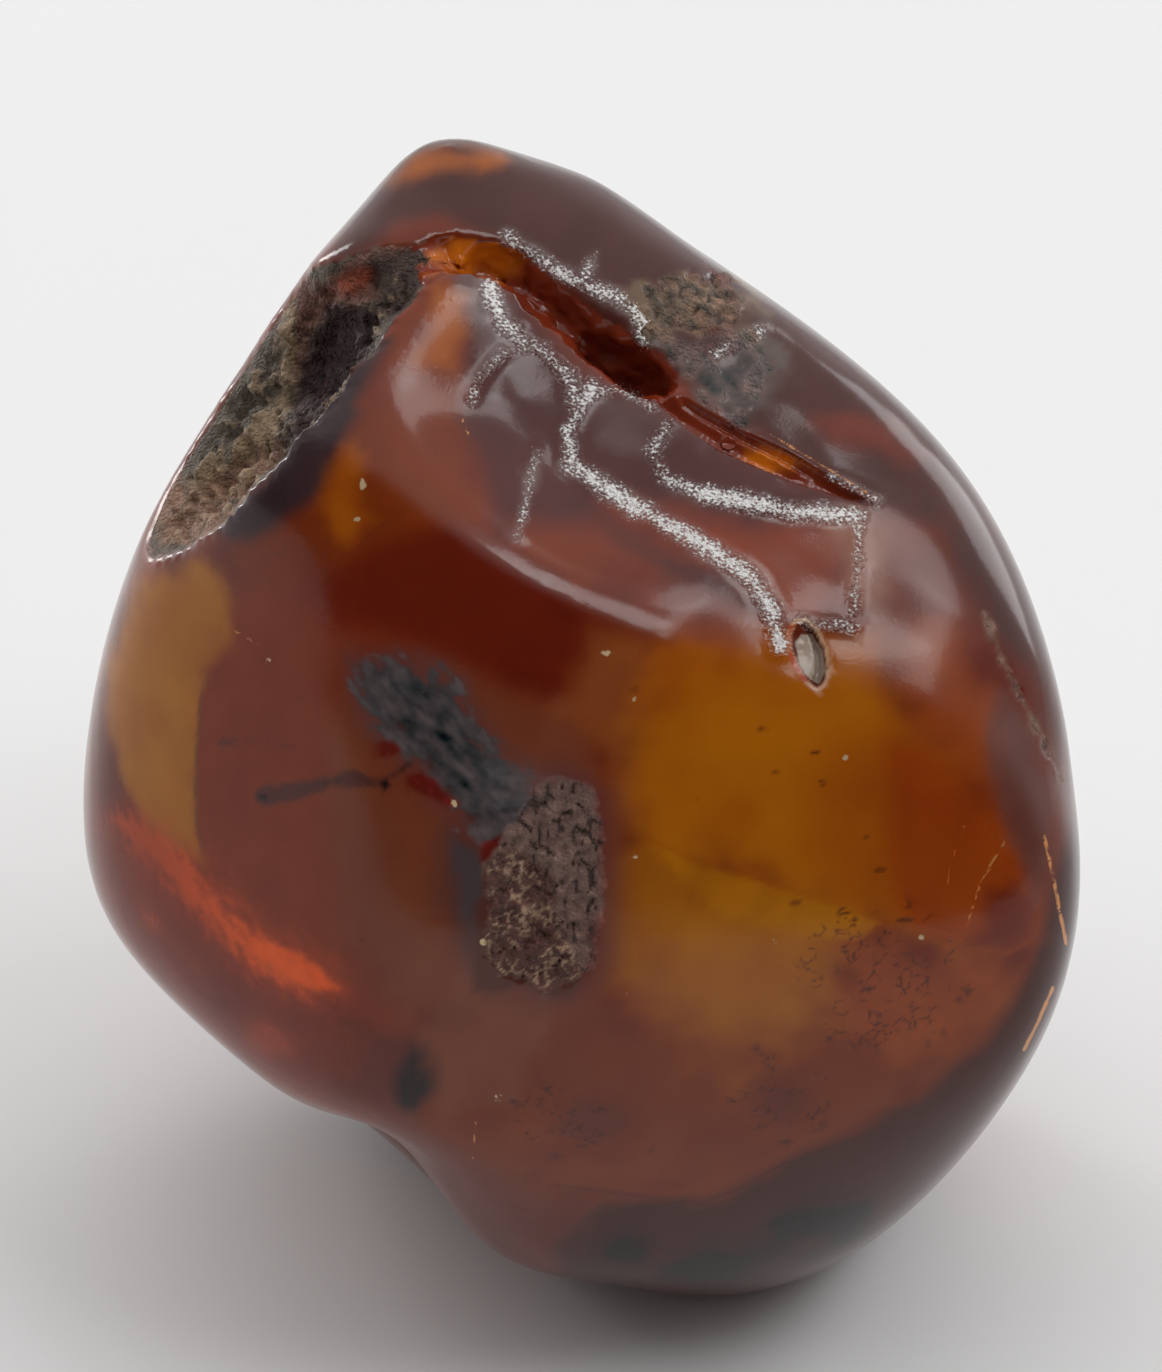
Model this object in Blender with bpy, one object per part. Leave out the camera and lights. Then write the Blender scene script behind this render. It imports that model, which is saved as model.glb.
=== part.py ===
"""A polished amber nugget in one piece, with a small flat on its underside that it stands on.

Metres, +Z up. The face with the open fissure above it looks along -Y.
The body is a rounded polyhedron: flats left by tumbling and hand polishing, blended into each other.
Swells and dents then shape its ridges, and cutters open the fissure, the bark hollow and the small pits.
Places are in millimetres from the heart, the point that the flats' distances are measured from.
"""

import math
from typing import NamedTuple

import bmesh
import bpy
from mathutils import Matrix, Vector, noise

MM = 0.001

# Driving sizes, in millimetres
CUTS_PER_SIDE = 24
EDGE_CRISPNESS = 12.0
BASE_DEPTH = 29.0
# The triangles are finer towards the side with the fissure, which carries the detail
FINE_SIDE = Vector((-0.05, -0.28, 0.24))

AMBER_COLOUR = (0.42, 0.12, 0.03, 1.0)
AMBER_ROUGHNESS = 0.12


class Flat(NamedTuple):
    """A polished flat: the way it faces, in degrees, and its distance from the heart."""

    name: str
    azimuth: float
    elevation: float
    distance: float


class Slit(NamedTuple):
    """One station of the fissure: the two lips' places, and how deep it goes below them."""

    upper: tuple[float, float, float]
    lower: tuple[float, float, float]
    depth: float


class Trough(NamedTuple):
    """One station of the bark hollow: its near and far rims, and its depth below the line between them."""

    near: tuple[float, float, float]
    far: tuple[float, float, float]
    depth: float


class Relief(NamedTuple):
    """A swell, or a dent where the height is negative, that follows a path over the skin.

    A steepness of 2 gives soft sides, and 4 or more a level floor with steeper sides.
    """

    name: str
    height: float
    width: float
    steepness: float
    path: tuple[tuple[float, float, float], ...]


FLATS = (
    Flat("front", 8, 22, 20.0),
    Flat("front_left", -40, 18, 21.0),
    Flat("front_low", 6, -16, 23.3),
    Flat("top", 28, 58, 20.3),
    Flat("peak", -150, 50, 28.6),
    Flat("crown_left", -113, 29, 22.3),
    Flat("left_upper", -97, 10, 23.6),
    Flat("left", -88, -5, 25.7),
    Flat("under_left", -54, -40, 22.9),
    Flat("toe_left", -34, -50, 28.0),
    Flat("toe", 4, -55, 31.0),
    Flat("toe_right", 50, -42, 31.0),
    Flat("right_low", 73, -22, 26.9),
    Flat("right", 92, 3, 23.8),
    Flat("right_upper", 98, 12, 22.8),
    Flat("shoulder", 112, 28, 22.4),
    Flat("crown_right", 129, 42, 21.5),
    Flat("crown", 141, 48, 24.0),
    Flat("back", 176, 4, 22.0),
    Flat("back_left", -138, -4, 23.5),
    Flat("back_right", 134, -12, 24.5),
    Flat("back_low", -170, -42, 27.0),
)

RELIEFS = (
    Relief("rim_ridge", 1.0, 3.2, 2, ((-6.5, -2.4, 24.6), (-10.2, -6.3, 22.4), (-14.7, -8.7, 17.6))),
    Relief("brow_ridge", 0.9, 3.0, 2, ((-8.0, -10.5, 19.6), (-2.7, -13.0, 16.7), (3.0, -14.4, 13.9))),
    Relief("basin", -0.9, 4.6, 2, ((-3.5, -6.0, 21.5), (0.5, -8.5, 19.5))),
    Relief("waist", -2.2, 3.2, 2, ((-9.2, -9.0, -20.5), (-8.4, -17.0, -11.5))),
    Relief("waist_rise", -0.9, 3.4, 2, ((-8.2, -18.5, -8.5), (-5.5, -20.5, -3.0))),
    Relief("bark_patch", -0.45, 3.6, 3, ((-2.6, -19.3, 5.2), (-1.6, -20.3, 1.5))),
    Relief("bark_streak", -0.3, 2.0, 2, ((-8.5, -16.0, 13.0), (-3.5, -18.6, 7.5))),
    Relief("peak_tip", 1.1, 3.0, 2, ((-6.5, 6.5, 26.5),)),
    Relief("far_lobe", 0.5, 3.0, 2, ((1.0, 8.0, 24.0),)),
    Relief("toe_swell", 1.0, 4.5, 2, ((-3.2, -15.7, -20.2), (-5.0, -8.0, -24.5))),
    Relief("right_crease", -0.7, 1.8, 2, ((19.5, -13.5, 11.0), (21.5, -13.0, 4.5))),
    Relief("back_hollow", -1.6, 5.0, 3, ((-8.0, 19.5, 4.0), (-12.5, 16.0, -3.0))),
    Relief("back_saddle", -1.2, 6.0, 2, ((8.0, 18.0, -9.0), (14.0, 14.5, -4.0))),
)


FISSURE = (
    Slit((-7.4, -0.7, 25.9), (-7.2, -1.5, 25.7), 1.5),
    Slit((-5.7, 0.2, 25.9), (-5.6, -1.5, 25.3), 3.5),
    Slit((-4.1, 0.4, 25.4), (-4.2, -1.0, 24.8), 4.5),
    Slit((-2.7, 0.5, 24.9), (-2.7, -1.3, 24.0), 5.5),
    Slit((-0.7, -0.8, 23.5), (-0.9, -2.4, 22.5), 6.0),
    Slit((0.9, -1.5, 22.7), (0.5, -3.0, 21.8), 6.5),
    Slit((1.8, -1.9, 22.2), (1.0, -3.9, 21.0), 7.0),
    Slit((2.9, -2.4, 21.6), (2.2, -4.1, 20.6), 7.0),
    Slit((3.9, -2.8, 21.1), (3.5, -4.2, 20.3), 6.5),
    Slit((4.9, -4.1, 20.1), (4.5, -4.9, 19.7), 6.0),
    Slit((7.1, -5.0, 19.0), (6.3, -5.6, 18.9), 5.0),
    Slit((9.8, -5.8, 17.8), (9.4, -6.5, 17.6), 4.0),
    Slit((12.1, -6.2, 16.8), (12.0, -6.6, 16.7), 2.5),
    Slit((13.4, -6.5, 16.3), (13.4, -6.7, 16.2), 0.8),
)
FISSURE_DIVE = Vector((-0.15, 0.55, -0.82)).normalized()
FISSURE_FLOOR = 0.25

BARK_HOLLOW = (
    Trough((-6.6, -1.9, 25.5), (-6.7, -0.3, 26.0), 0.8),
    Trough((-8.0, -3.6, 24.9), (-9.0, -0.7, 26.0), 1.8),
    Trough((-9.8, -6.1, 23.9), (-11.5, -1.0, 25.3), 2.6),
    Trough((-11.7, -8.3, 22.4), (-14.4, 2.6, 22.6), 3.2),
    Trough((-13.9, -9.3, 19.9), (-17.2, 3.2, 18.4), 3.1),
    Trough((-16.1, -8.8, 16.9), (-19.2, 1.8, 15.0), 2.6),
    Trough((-17.8, -7.4, 14.6), (-20.1, -0.6, 12.7), 1.6),
    Trough((-19.2, -6.2, 12.9), (-20.2, -3.5, 11.9), 0.4),
)
HOLLOW_POINTS = 20
HOLLOW_RINGS_BETWEEN = 3
HOLLOW_ROUGHNESS = 1.1
HOLLOW_GRAIN = 2.2

PIT_ENDS = ((9.7, -12.8, 14.3), (10.2, -14.6, 11.9))
PIT_WIDTH = 1.3
PIT_DEPTH = 1.1


def facing(azimuth: float, elevation: float) -> Vector:
    """The unit vector for an azimuth, 0 along -Y and 90 along +X, and an elevation, in degrees."""
    turn = math.radians(azimuth)
    rise = math.radians(elevation)
    return Vector((math.sin(turn) * math.cos(rise), -math.cos(turn) * math.cos(rise), math.sin(rise)))


def body_radius(direction: Vector) -> float:
    """How far the rounded polyhedron's skin is from the heart in this direction, in millimetres."""
    total = 0.0
    for flat in FLATS:
        share = facing(flat.azimuth, flat.elevation).dot(direction) / flat.distance
        if share > 0:
            total += share**EDGE_CRISPNESS
    return total ** (-1 / EDGE_CRISPNESS)


def distance_to_path(point: Vector, path: tuple[tuple[float, float, float], ...]) -> float:
    """The distance from a point to the nearest place on a path of one or more points."""
    corners = [Vector(corner) for corner in path]
    nearest = min((point - corner).length for corner in corners)
    for start, end in zip(corners, corners[1:]):
        along = (point - start).dot(end - start) / (end - start).length_squared
        foot = start.lerp(end, min(max(along, 0.0), 1.0))
        nearest = min(nearest, (point - foot).length)
    return nearest


def skin_point(direction: Vector) -> Vector:
    """The place on the finished skin in this direction, swells and dents included, in millimetres."""
    plain = direction * body_radius(direction)
    rise = 0.0
    for relief in RELIEFS:
        away = distance_to_path(plain, relief.path) / relief.width
        rise += relief.height * math.exp(-(away**relief.steepness))
    return plain + direction * rise


def make_body() -> bpy.types.Object:
    """The nugget before anything is cut into it, from a subdivided cube blown out to the skin."""
    bpy.ops.mesh.primitive_cube_add(size=2 * MM)
    body = bpy.context.object
    body.name = "nugget"
    mesh = bmesh.new()
    mesh.from_mesh(body.data)
    bmesh.ops.subdivide_edges(mesh, edges=mesh.edges[:], cuts=CUTS_PER_SIDE, use_grid_fill=True)
    for vertex in mesh.verts:
        evened = Vector(math.tan(c / MM * math.pi / 4) for c in vertex.co)
        vertex.co = skin_point((evened.normalized() + FINE_SIDE).normalized()) * MM
    bmesh.ops.triangulate(mesh, faces=mesh.faces[:])
    mesh.to_mesh(body.data)
    mesh.free()
    return body


def stand_on_flat(body: bpy.types.Object) -> Vector:
    """Cuts the underside flat and moves the nugget's box over the origin. It returns the heart's place."""
    mesh = bmesh.new()
    mesh.from_mesh(body.data)
    floor = Vector((0, 0, -BASE_DEPTH * MM))
    everything = mesh.verts[:] + mesh.edges[:] + mesh.faces[:]
    bmesh.ops.bisect_plane(mesh, geom=everything, plane_co=floor, plane_no=(0, 0, -1), clear_outer=True)
    rim = [edge for edge in mesh.edges if edge.is_boundary]
    bmesh.ops.edgeloop_fill(mesh, edges=rim)
    bmesh.ops.recalc_face_normals(mesh, faces=mesh.faces[:])
    xs = [vertex.co.x for vertex in mesh.verts]
    ys = [vertex.co.y for vertex in mesh.verts]
    middle = Vector(((min(xs) + max(xs)) / 2, (min(ys) + max(ys)) / 2, floor.z))
    bmesh.ops.translate(mesh, verts=mesh.verts[:], vec=-middle)
    mesh.to_mesh(body.data)
    mesh.free()
    return -middle


def closed_loft(name: str, rings: list[list[Vector]]) -> bpy.types.Object:
    """A closed cutter through the rings, which have the same number of points, in millimetres."""
    count = len(rings[0])
    points = [point * MM for ring in rings for point in ring]
    faces = [tuple(range(count)), tuple(range(len(points) - count, len(points)))]
    for start in range(0, len(points) - count, count):
        for step in range(count):
            ahead = (step + 1) % count
            faces.append((start + step, start + ahead, start + count + ahead, start + count + step))
    mesh = bmesh.new()
    made = [mesh.verts.new(point) for point in points]
    for face in faces:
        mesh.faces.new([made[corner] for corner in face])
    bmesh.ops.triangulate(mesh, faces=mesh.faces[:])
    bmesh.ops.recalc_face_normals(mesh, faces=mesh.faces[:])
    data = bpy.data.meshes.new(name)
    mesh.to_mesh(data)
    mesh.free()
    cutter = bpy.data.objects.new(name, data)
    bpy.context.collection.objects.link(cutter)
    cutter.hide_render = True
    cutter.display_type = "WIRE"
    return cutter


def fissure_cutter() -> bpy.types.Object:
    """A wedge that opens the fissure between its lips and closes to a thin floor at its depth."""
    rings = []
    for slit in FISSURE:
        upper, lower = Vector(slit.upper), Vector(slit.lower)
        spread = upper - lower
        floor = (upper + lower) / 2 + FISSURE_DIVE * slit.depth
        thin = spread.normalized() * FISSURE_FLOOR / 2
        above = 2 / slit.depth
        rings.append(
            [
                upper + (upper - floor - thin) * above,
                lower + (lower - floor + thin) * above,
                floor - thin,
                floor + thin,
            ]
        )
    return closed_loft("fissure_cutter", rings)


def rough_ring(near: Vector, far: Vector, depth: float, along: Vector) -> list[Vector]:
    """A ring through both rims, deep on the inside and clear of the skin outside, with the bark's bumps."""
    middle = (near + far) / 2
    half = (far - near) / 2
    outward = half.cross(along).normalized()
    if outward.dot(middle) < 0:
        outward.negate()
    clear = 1.5 + 0.6 * half.length
    ring = []
    for step in range(HOLLOW_POINTS):
        angle = math.tau * step / HOLLOW_POINTS
        height = math.sin(angle) * (clear if math.sin(angle) > 0 else depth)
        place = middle + half * math.cos(angle) + outward * height
        bump = noise.noise(place / HOLLOW_GRAIN) * HOLLOW_ROUGHNESS * math.sin(angle) ** 2
        ring.append(place + outward * bump * min(depth, 1.5))
    return ring


def hollow_cutter() -> bpy.types.Object:
    """A rough bar that hollows the bark-filled side below the peak, between its two rims."""
    rings = []
    for start, end in zip(BARK_HOLLOW, BARK_HOLLOW[1:]):
        near, far = Vector(start.near), Vector(start.far)
        next_near, next_far = Vector(end.near), Vector(end.far)
        along = next_near + next_far - near - far
        for step in range(HOLLOW_RINGS_BETWEEN):
            share = step / HOLLOW_RINGS_BETWEEN
            depth = start.depth + (end.depth - start.depth) * share
            rings.append(rough_ring(near.lerp(next_near, share), far.lerp(next_far, share), depth, along))
    rings.append(rough_ring(next_near, next_far, end.depth, along))
    return closed_loft("hollow_cutter", rings)


def pit_cutter() -> bpy.types.Object:
    """A small long drop that opens the pit in the polished face."""
    ends = [Vector(end) for end in PIT_ENDS]
    along = (ends[1] - ends[0]).normalized()
    out = ((ends[0] + ends[1]) / 2).normalized()
    out = (out - along * out.dot(along)).normalized()
    side = along.cross(out)
    rings = []
    for share, size in ((0, 0.3), (0.2, 0.75), (0.45, 1.0), (0.75, 0.9), (1, 0.4)):
        centre = ends[0].lerp(ends[1], share)
        half = side * PIT_WIDTH / 2 * size
        lift = out * 1.5
        sunk = out * PIT_DEPTH * size
        rings.append([centre + half * 1.3 + lift, centre - half * 1.3 + lift, centre - half * 0.6 - sunk,
                      centre + half * 0.6 - sunk])
    return closed_loft("pit_cutter", rings)


def cut(body: bpy.types.Object, cutter: bpy.types.Object) -> None:
    """Takes the cutter's shape out of the body."""
    modifier = body.modifiers.new(cutter.name, "BOOLEAN")
    modifier.operation = "DIFFERENCE"
    modifier.solver = "EXACT"
    modifier.object = cutter


def amber() -> bpy.types.Material:
    """Deep cognac amber with a polished skin."""
    material = bpy.data.materials.new("amber")
    material.use_nodes = True
    shader = material.node_tree.nodes["Principled BSDF"]
    shader.inputs["Base Color"].default_value = AMBER_COLOUR
    shader.inputs["Roughness"].default_value = AMBER_ROUGHNESS
    shader.inputs["Metallic"].default_value = 0.0
    return material


def main() -> None:
    """Clears the scene and builds the nugget."""
    for old in list(bpy.data.objects):
        bpy.data.objects.remove(old)
    body = make_body()
    heart = stand_on_flat(body)
    for cutter in (fissure_cutter(), hollow_cutter(), pit_cutter()):
        cutter.location = heart
        cut(body, cutter)
    body.data.materials.append(amber())
    body.data.shade_smooth()


main()
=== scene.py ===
"""The look of a polished amber nugget: cloudy and clear amber, bark crust, an open fissure and a bark hollow.

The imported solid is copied, made finer and relaxed into polished flats, embossed where bark grows into it, and
dressed with a cloudy, a clear and a crusty finish. Where each patch lies is written as an outline in the
photograph's pixels, and is laid on the skin as a field that the washes and the finishes read.
"""

import logging
import math
from dataclasses import dataclass, field
from enum import Enum

import bmesh
import bpy
import numpy as np
from mathutils import Matrix, Vector, noise
from mathutils.bvhtree import BVHTree
from mathutils.kdtree import KDTree

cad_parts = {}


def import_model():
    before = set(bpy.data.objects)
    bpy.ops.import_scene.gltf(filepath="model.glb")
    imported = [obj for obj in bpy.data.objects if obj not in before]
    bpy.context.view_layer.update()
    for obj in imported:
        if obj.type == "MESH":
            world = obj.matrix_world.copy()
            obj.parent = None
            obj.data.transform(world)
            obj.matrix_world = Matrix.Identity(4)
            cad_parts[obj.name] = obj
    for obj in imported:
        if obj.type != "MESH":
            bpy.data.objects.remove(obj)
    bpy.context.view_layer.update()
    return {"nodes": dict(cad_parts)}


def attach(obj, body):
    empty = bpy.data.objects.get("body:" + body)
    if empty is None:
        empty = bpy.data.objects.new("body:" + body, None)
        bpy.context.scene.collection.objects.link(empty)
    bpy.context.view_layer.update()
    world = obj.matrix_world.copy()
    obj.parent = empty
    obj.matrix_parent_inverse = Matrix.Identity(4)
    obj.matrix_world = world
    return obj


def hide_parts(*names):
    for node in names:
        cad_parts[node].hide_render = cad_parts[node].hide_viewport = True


MM = 0.001
WELD = 1e-6  # How near two of the solid's corners are when they are one, in metres.
LEAST = 0.001  # A weight or a height in millimetres under this counts as none.
SPOT_CORNERS = 12
LOG = logging.getLogger("amber")
Pixel = tuple[float, float]
Pair = tuple[float, float]
Triple = tuple[float, float, float]


@dataclass(frozen=True)
class PhotoView:
    """The photograph's camera: it looks down on the broad face from in front of it.

    heart is the point of the solid that its flats are measured from, and aim_rise how far above it, square to the
    line of sight, the middle of the frame is. sensor is its height in millimetres.
    """

    heart: Triple = (0.331 * MM, -0.216 * MM, 29.0 * MM)
    elevation: float = math.radians(35)
    distance: float = 260 * MM
    focal_px: float = 5460.0
    sensor: float = 36.0
    frame_px: tuple[int, int] = (1162, 1372)
    aim_rise: float = 24 / 21 * MM
    px_per_mm: float = 21.0

    def back(self) -> Vector:
        """The unit vector from the nugget to the camera."""
        return Vector((0, -math.cos(self.elevation), math.sin(self.elevation)))

    def up(self) -> Vector:
        """The unit vector that is up in the picture."""
        return Vector((0, math.sin(self.elevation), math.cos(self.elevation)))

    def aim(self) -> Vector:
        """The point in the middle of the picture."""
        return Vector(self.heart) + self.up() * self.aim_rise

    def eye(self) -> Vector:
        """Where the camera stands."""
        return self.aim() + self.back() * self.distance

    def pixels(self, points: np.ndarray) -> np.ndarray:
        """Where points are seen in the photograph.

        Args:
            points: one point a row, in metres.

        Returns:
            One pixel a row, as x and y.
        """
        offset = points - np.array(self.aim())
        depth = self.distance - offset @ np.array(self.back())
        across = self.frame_px[0] / 2 + self.focal_px * offset[:, 0] / depth
        down = self.frame_px[1] / 2 - self.focal_px * (offset @ np.array(self.up())) / depth
        return np.stack([across, down], axis=1)

    def facing(self, points: np.ndarray, normals: np.ndarray) -> np.ndarray:
        """How squarely each point faces the camera, 1 at most and below 0 when it faces away.

        Args:
            points: one point a row, in metres.
            normals: the unit normal of each.

        Returns:
            One number a point.
        """
        sight = np.array(self.eye()) - points
        sight /= np.linalg.norm(sight, axis=1, keepdims=True)
        return (sight * normals).sum(axis=1)

    def build(self) -> bpy.types.Object:
        """Adds the camera and makes it the scene's own."""
        bpy.ops.object.camera_add(location=self.eye())
        camera = bpy.context.object
        camera.rotation_euler = self.back().to_track_quat("Z", "Y").to_euler()
        camera.data.sensor_fit = "VERTICAL"
        camera.data.sensor_height = self.sensor
        camera.data.lens = self.sensor * self.focal_px / self.frame_px[1]
        bpy.context.scene.camera = camera
        return camera


class Form(Enum):
    """How a patch's points are read: as a closed outline, or as a line with a width."""

    AREA = "area"
    LINE = "line"


@dataclass(frozen=True)
class Patch:
    """A patch of the skin, by points in the photograph's pixels. half_width is in pixels, for a line."""

    points: tuple[Pixel, ...]
    form: Form = Form.AREA
    half_width: float = 0.0

    def depth_inside(self, pixels: np.ndarray, reach: float) -> np.ndarray:
        """How deep inside the patch each pixel is, in pixels, and below 0 outside.

        Args:
            pixels: one pixel a row.
            reach: how far outside the patch it is still told, in pixels.

        Returns:
            One number a pixel, and -reach where it is farther off.
        """
        corners = np.array(self.points, dtype=float)
        margin = reach + self.half_width
        near = np.all((pixels > corners.min(axis=0) - margin) & (pixels < corners.max(axis=0) + margin), axis=1)
        close = pixels[near]
        ends = np.roll(corners, -1, axis=0) if self.form is Form.AREA else corners[1:]
        starts = corners if self.form is Form.AREA else corners[:-1]
        nearest = np.full(len(close), np.inf)
        inside = np.zeros(len(close), dtype=bool)
        for start, end in zip(starts, ends):
            way = end - start
            offset = close - start
            share = np.clip(offset @ way / max(way @ way, 1e-9), 0, 1)
            gap = np.linalg.norm(offset - share[:, None] * way, axis=1)
            nearest = np.minimum(nearest, gap)
            if self.form is Form.AREA and start[1] != end[1]:
                between = (start[1] > close[:, 1]) != (end[1] > close[:, 1])
                crossing = start[0] + (close[:, 1] - start[1]) * way[0] / way[1]
                inside ^= between & (close[:, 0] < crossing)
        depths = np.full(len(pixels), -reach)
        depths[near] = self.half_width - nearest if self.form is Form.LINE else np.where(inside, nearest, -nearest)
        return depths


def spot(x: float, y: float, across: float, tall: float | None = None) -> Patch:
    """A round or upright oval patch.

    Args:
        x: its middle's pixel across.
        y: its middle's pixel down.
        across: half its width, in pixels.
        tall: half its height, or the same as across.

    Returns:
        The patch.
    """
    tall = across if tall is None else tall
    turns = [math.tau * step / SPOT_CORNERS for step in range(SPOT_CORNERS)]
    return Patch(tuple((x + across * math.cos(turn), y + tall * math.sin(turn)) for turn in turns))


def line(half_width: float, *points: Pixel) -> Patch:
    """A line patch through points, of this half width in pixels."""
    return Patch(points, Form.LINE, half_width)


def area(*points: Pixel) -> Patch:
    """A closed patch with these corners."""
    return Patch(points)


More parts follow.
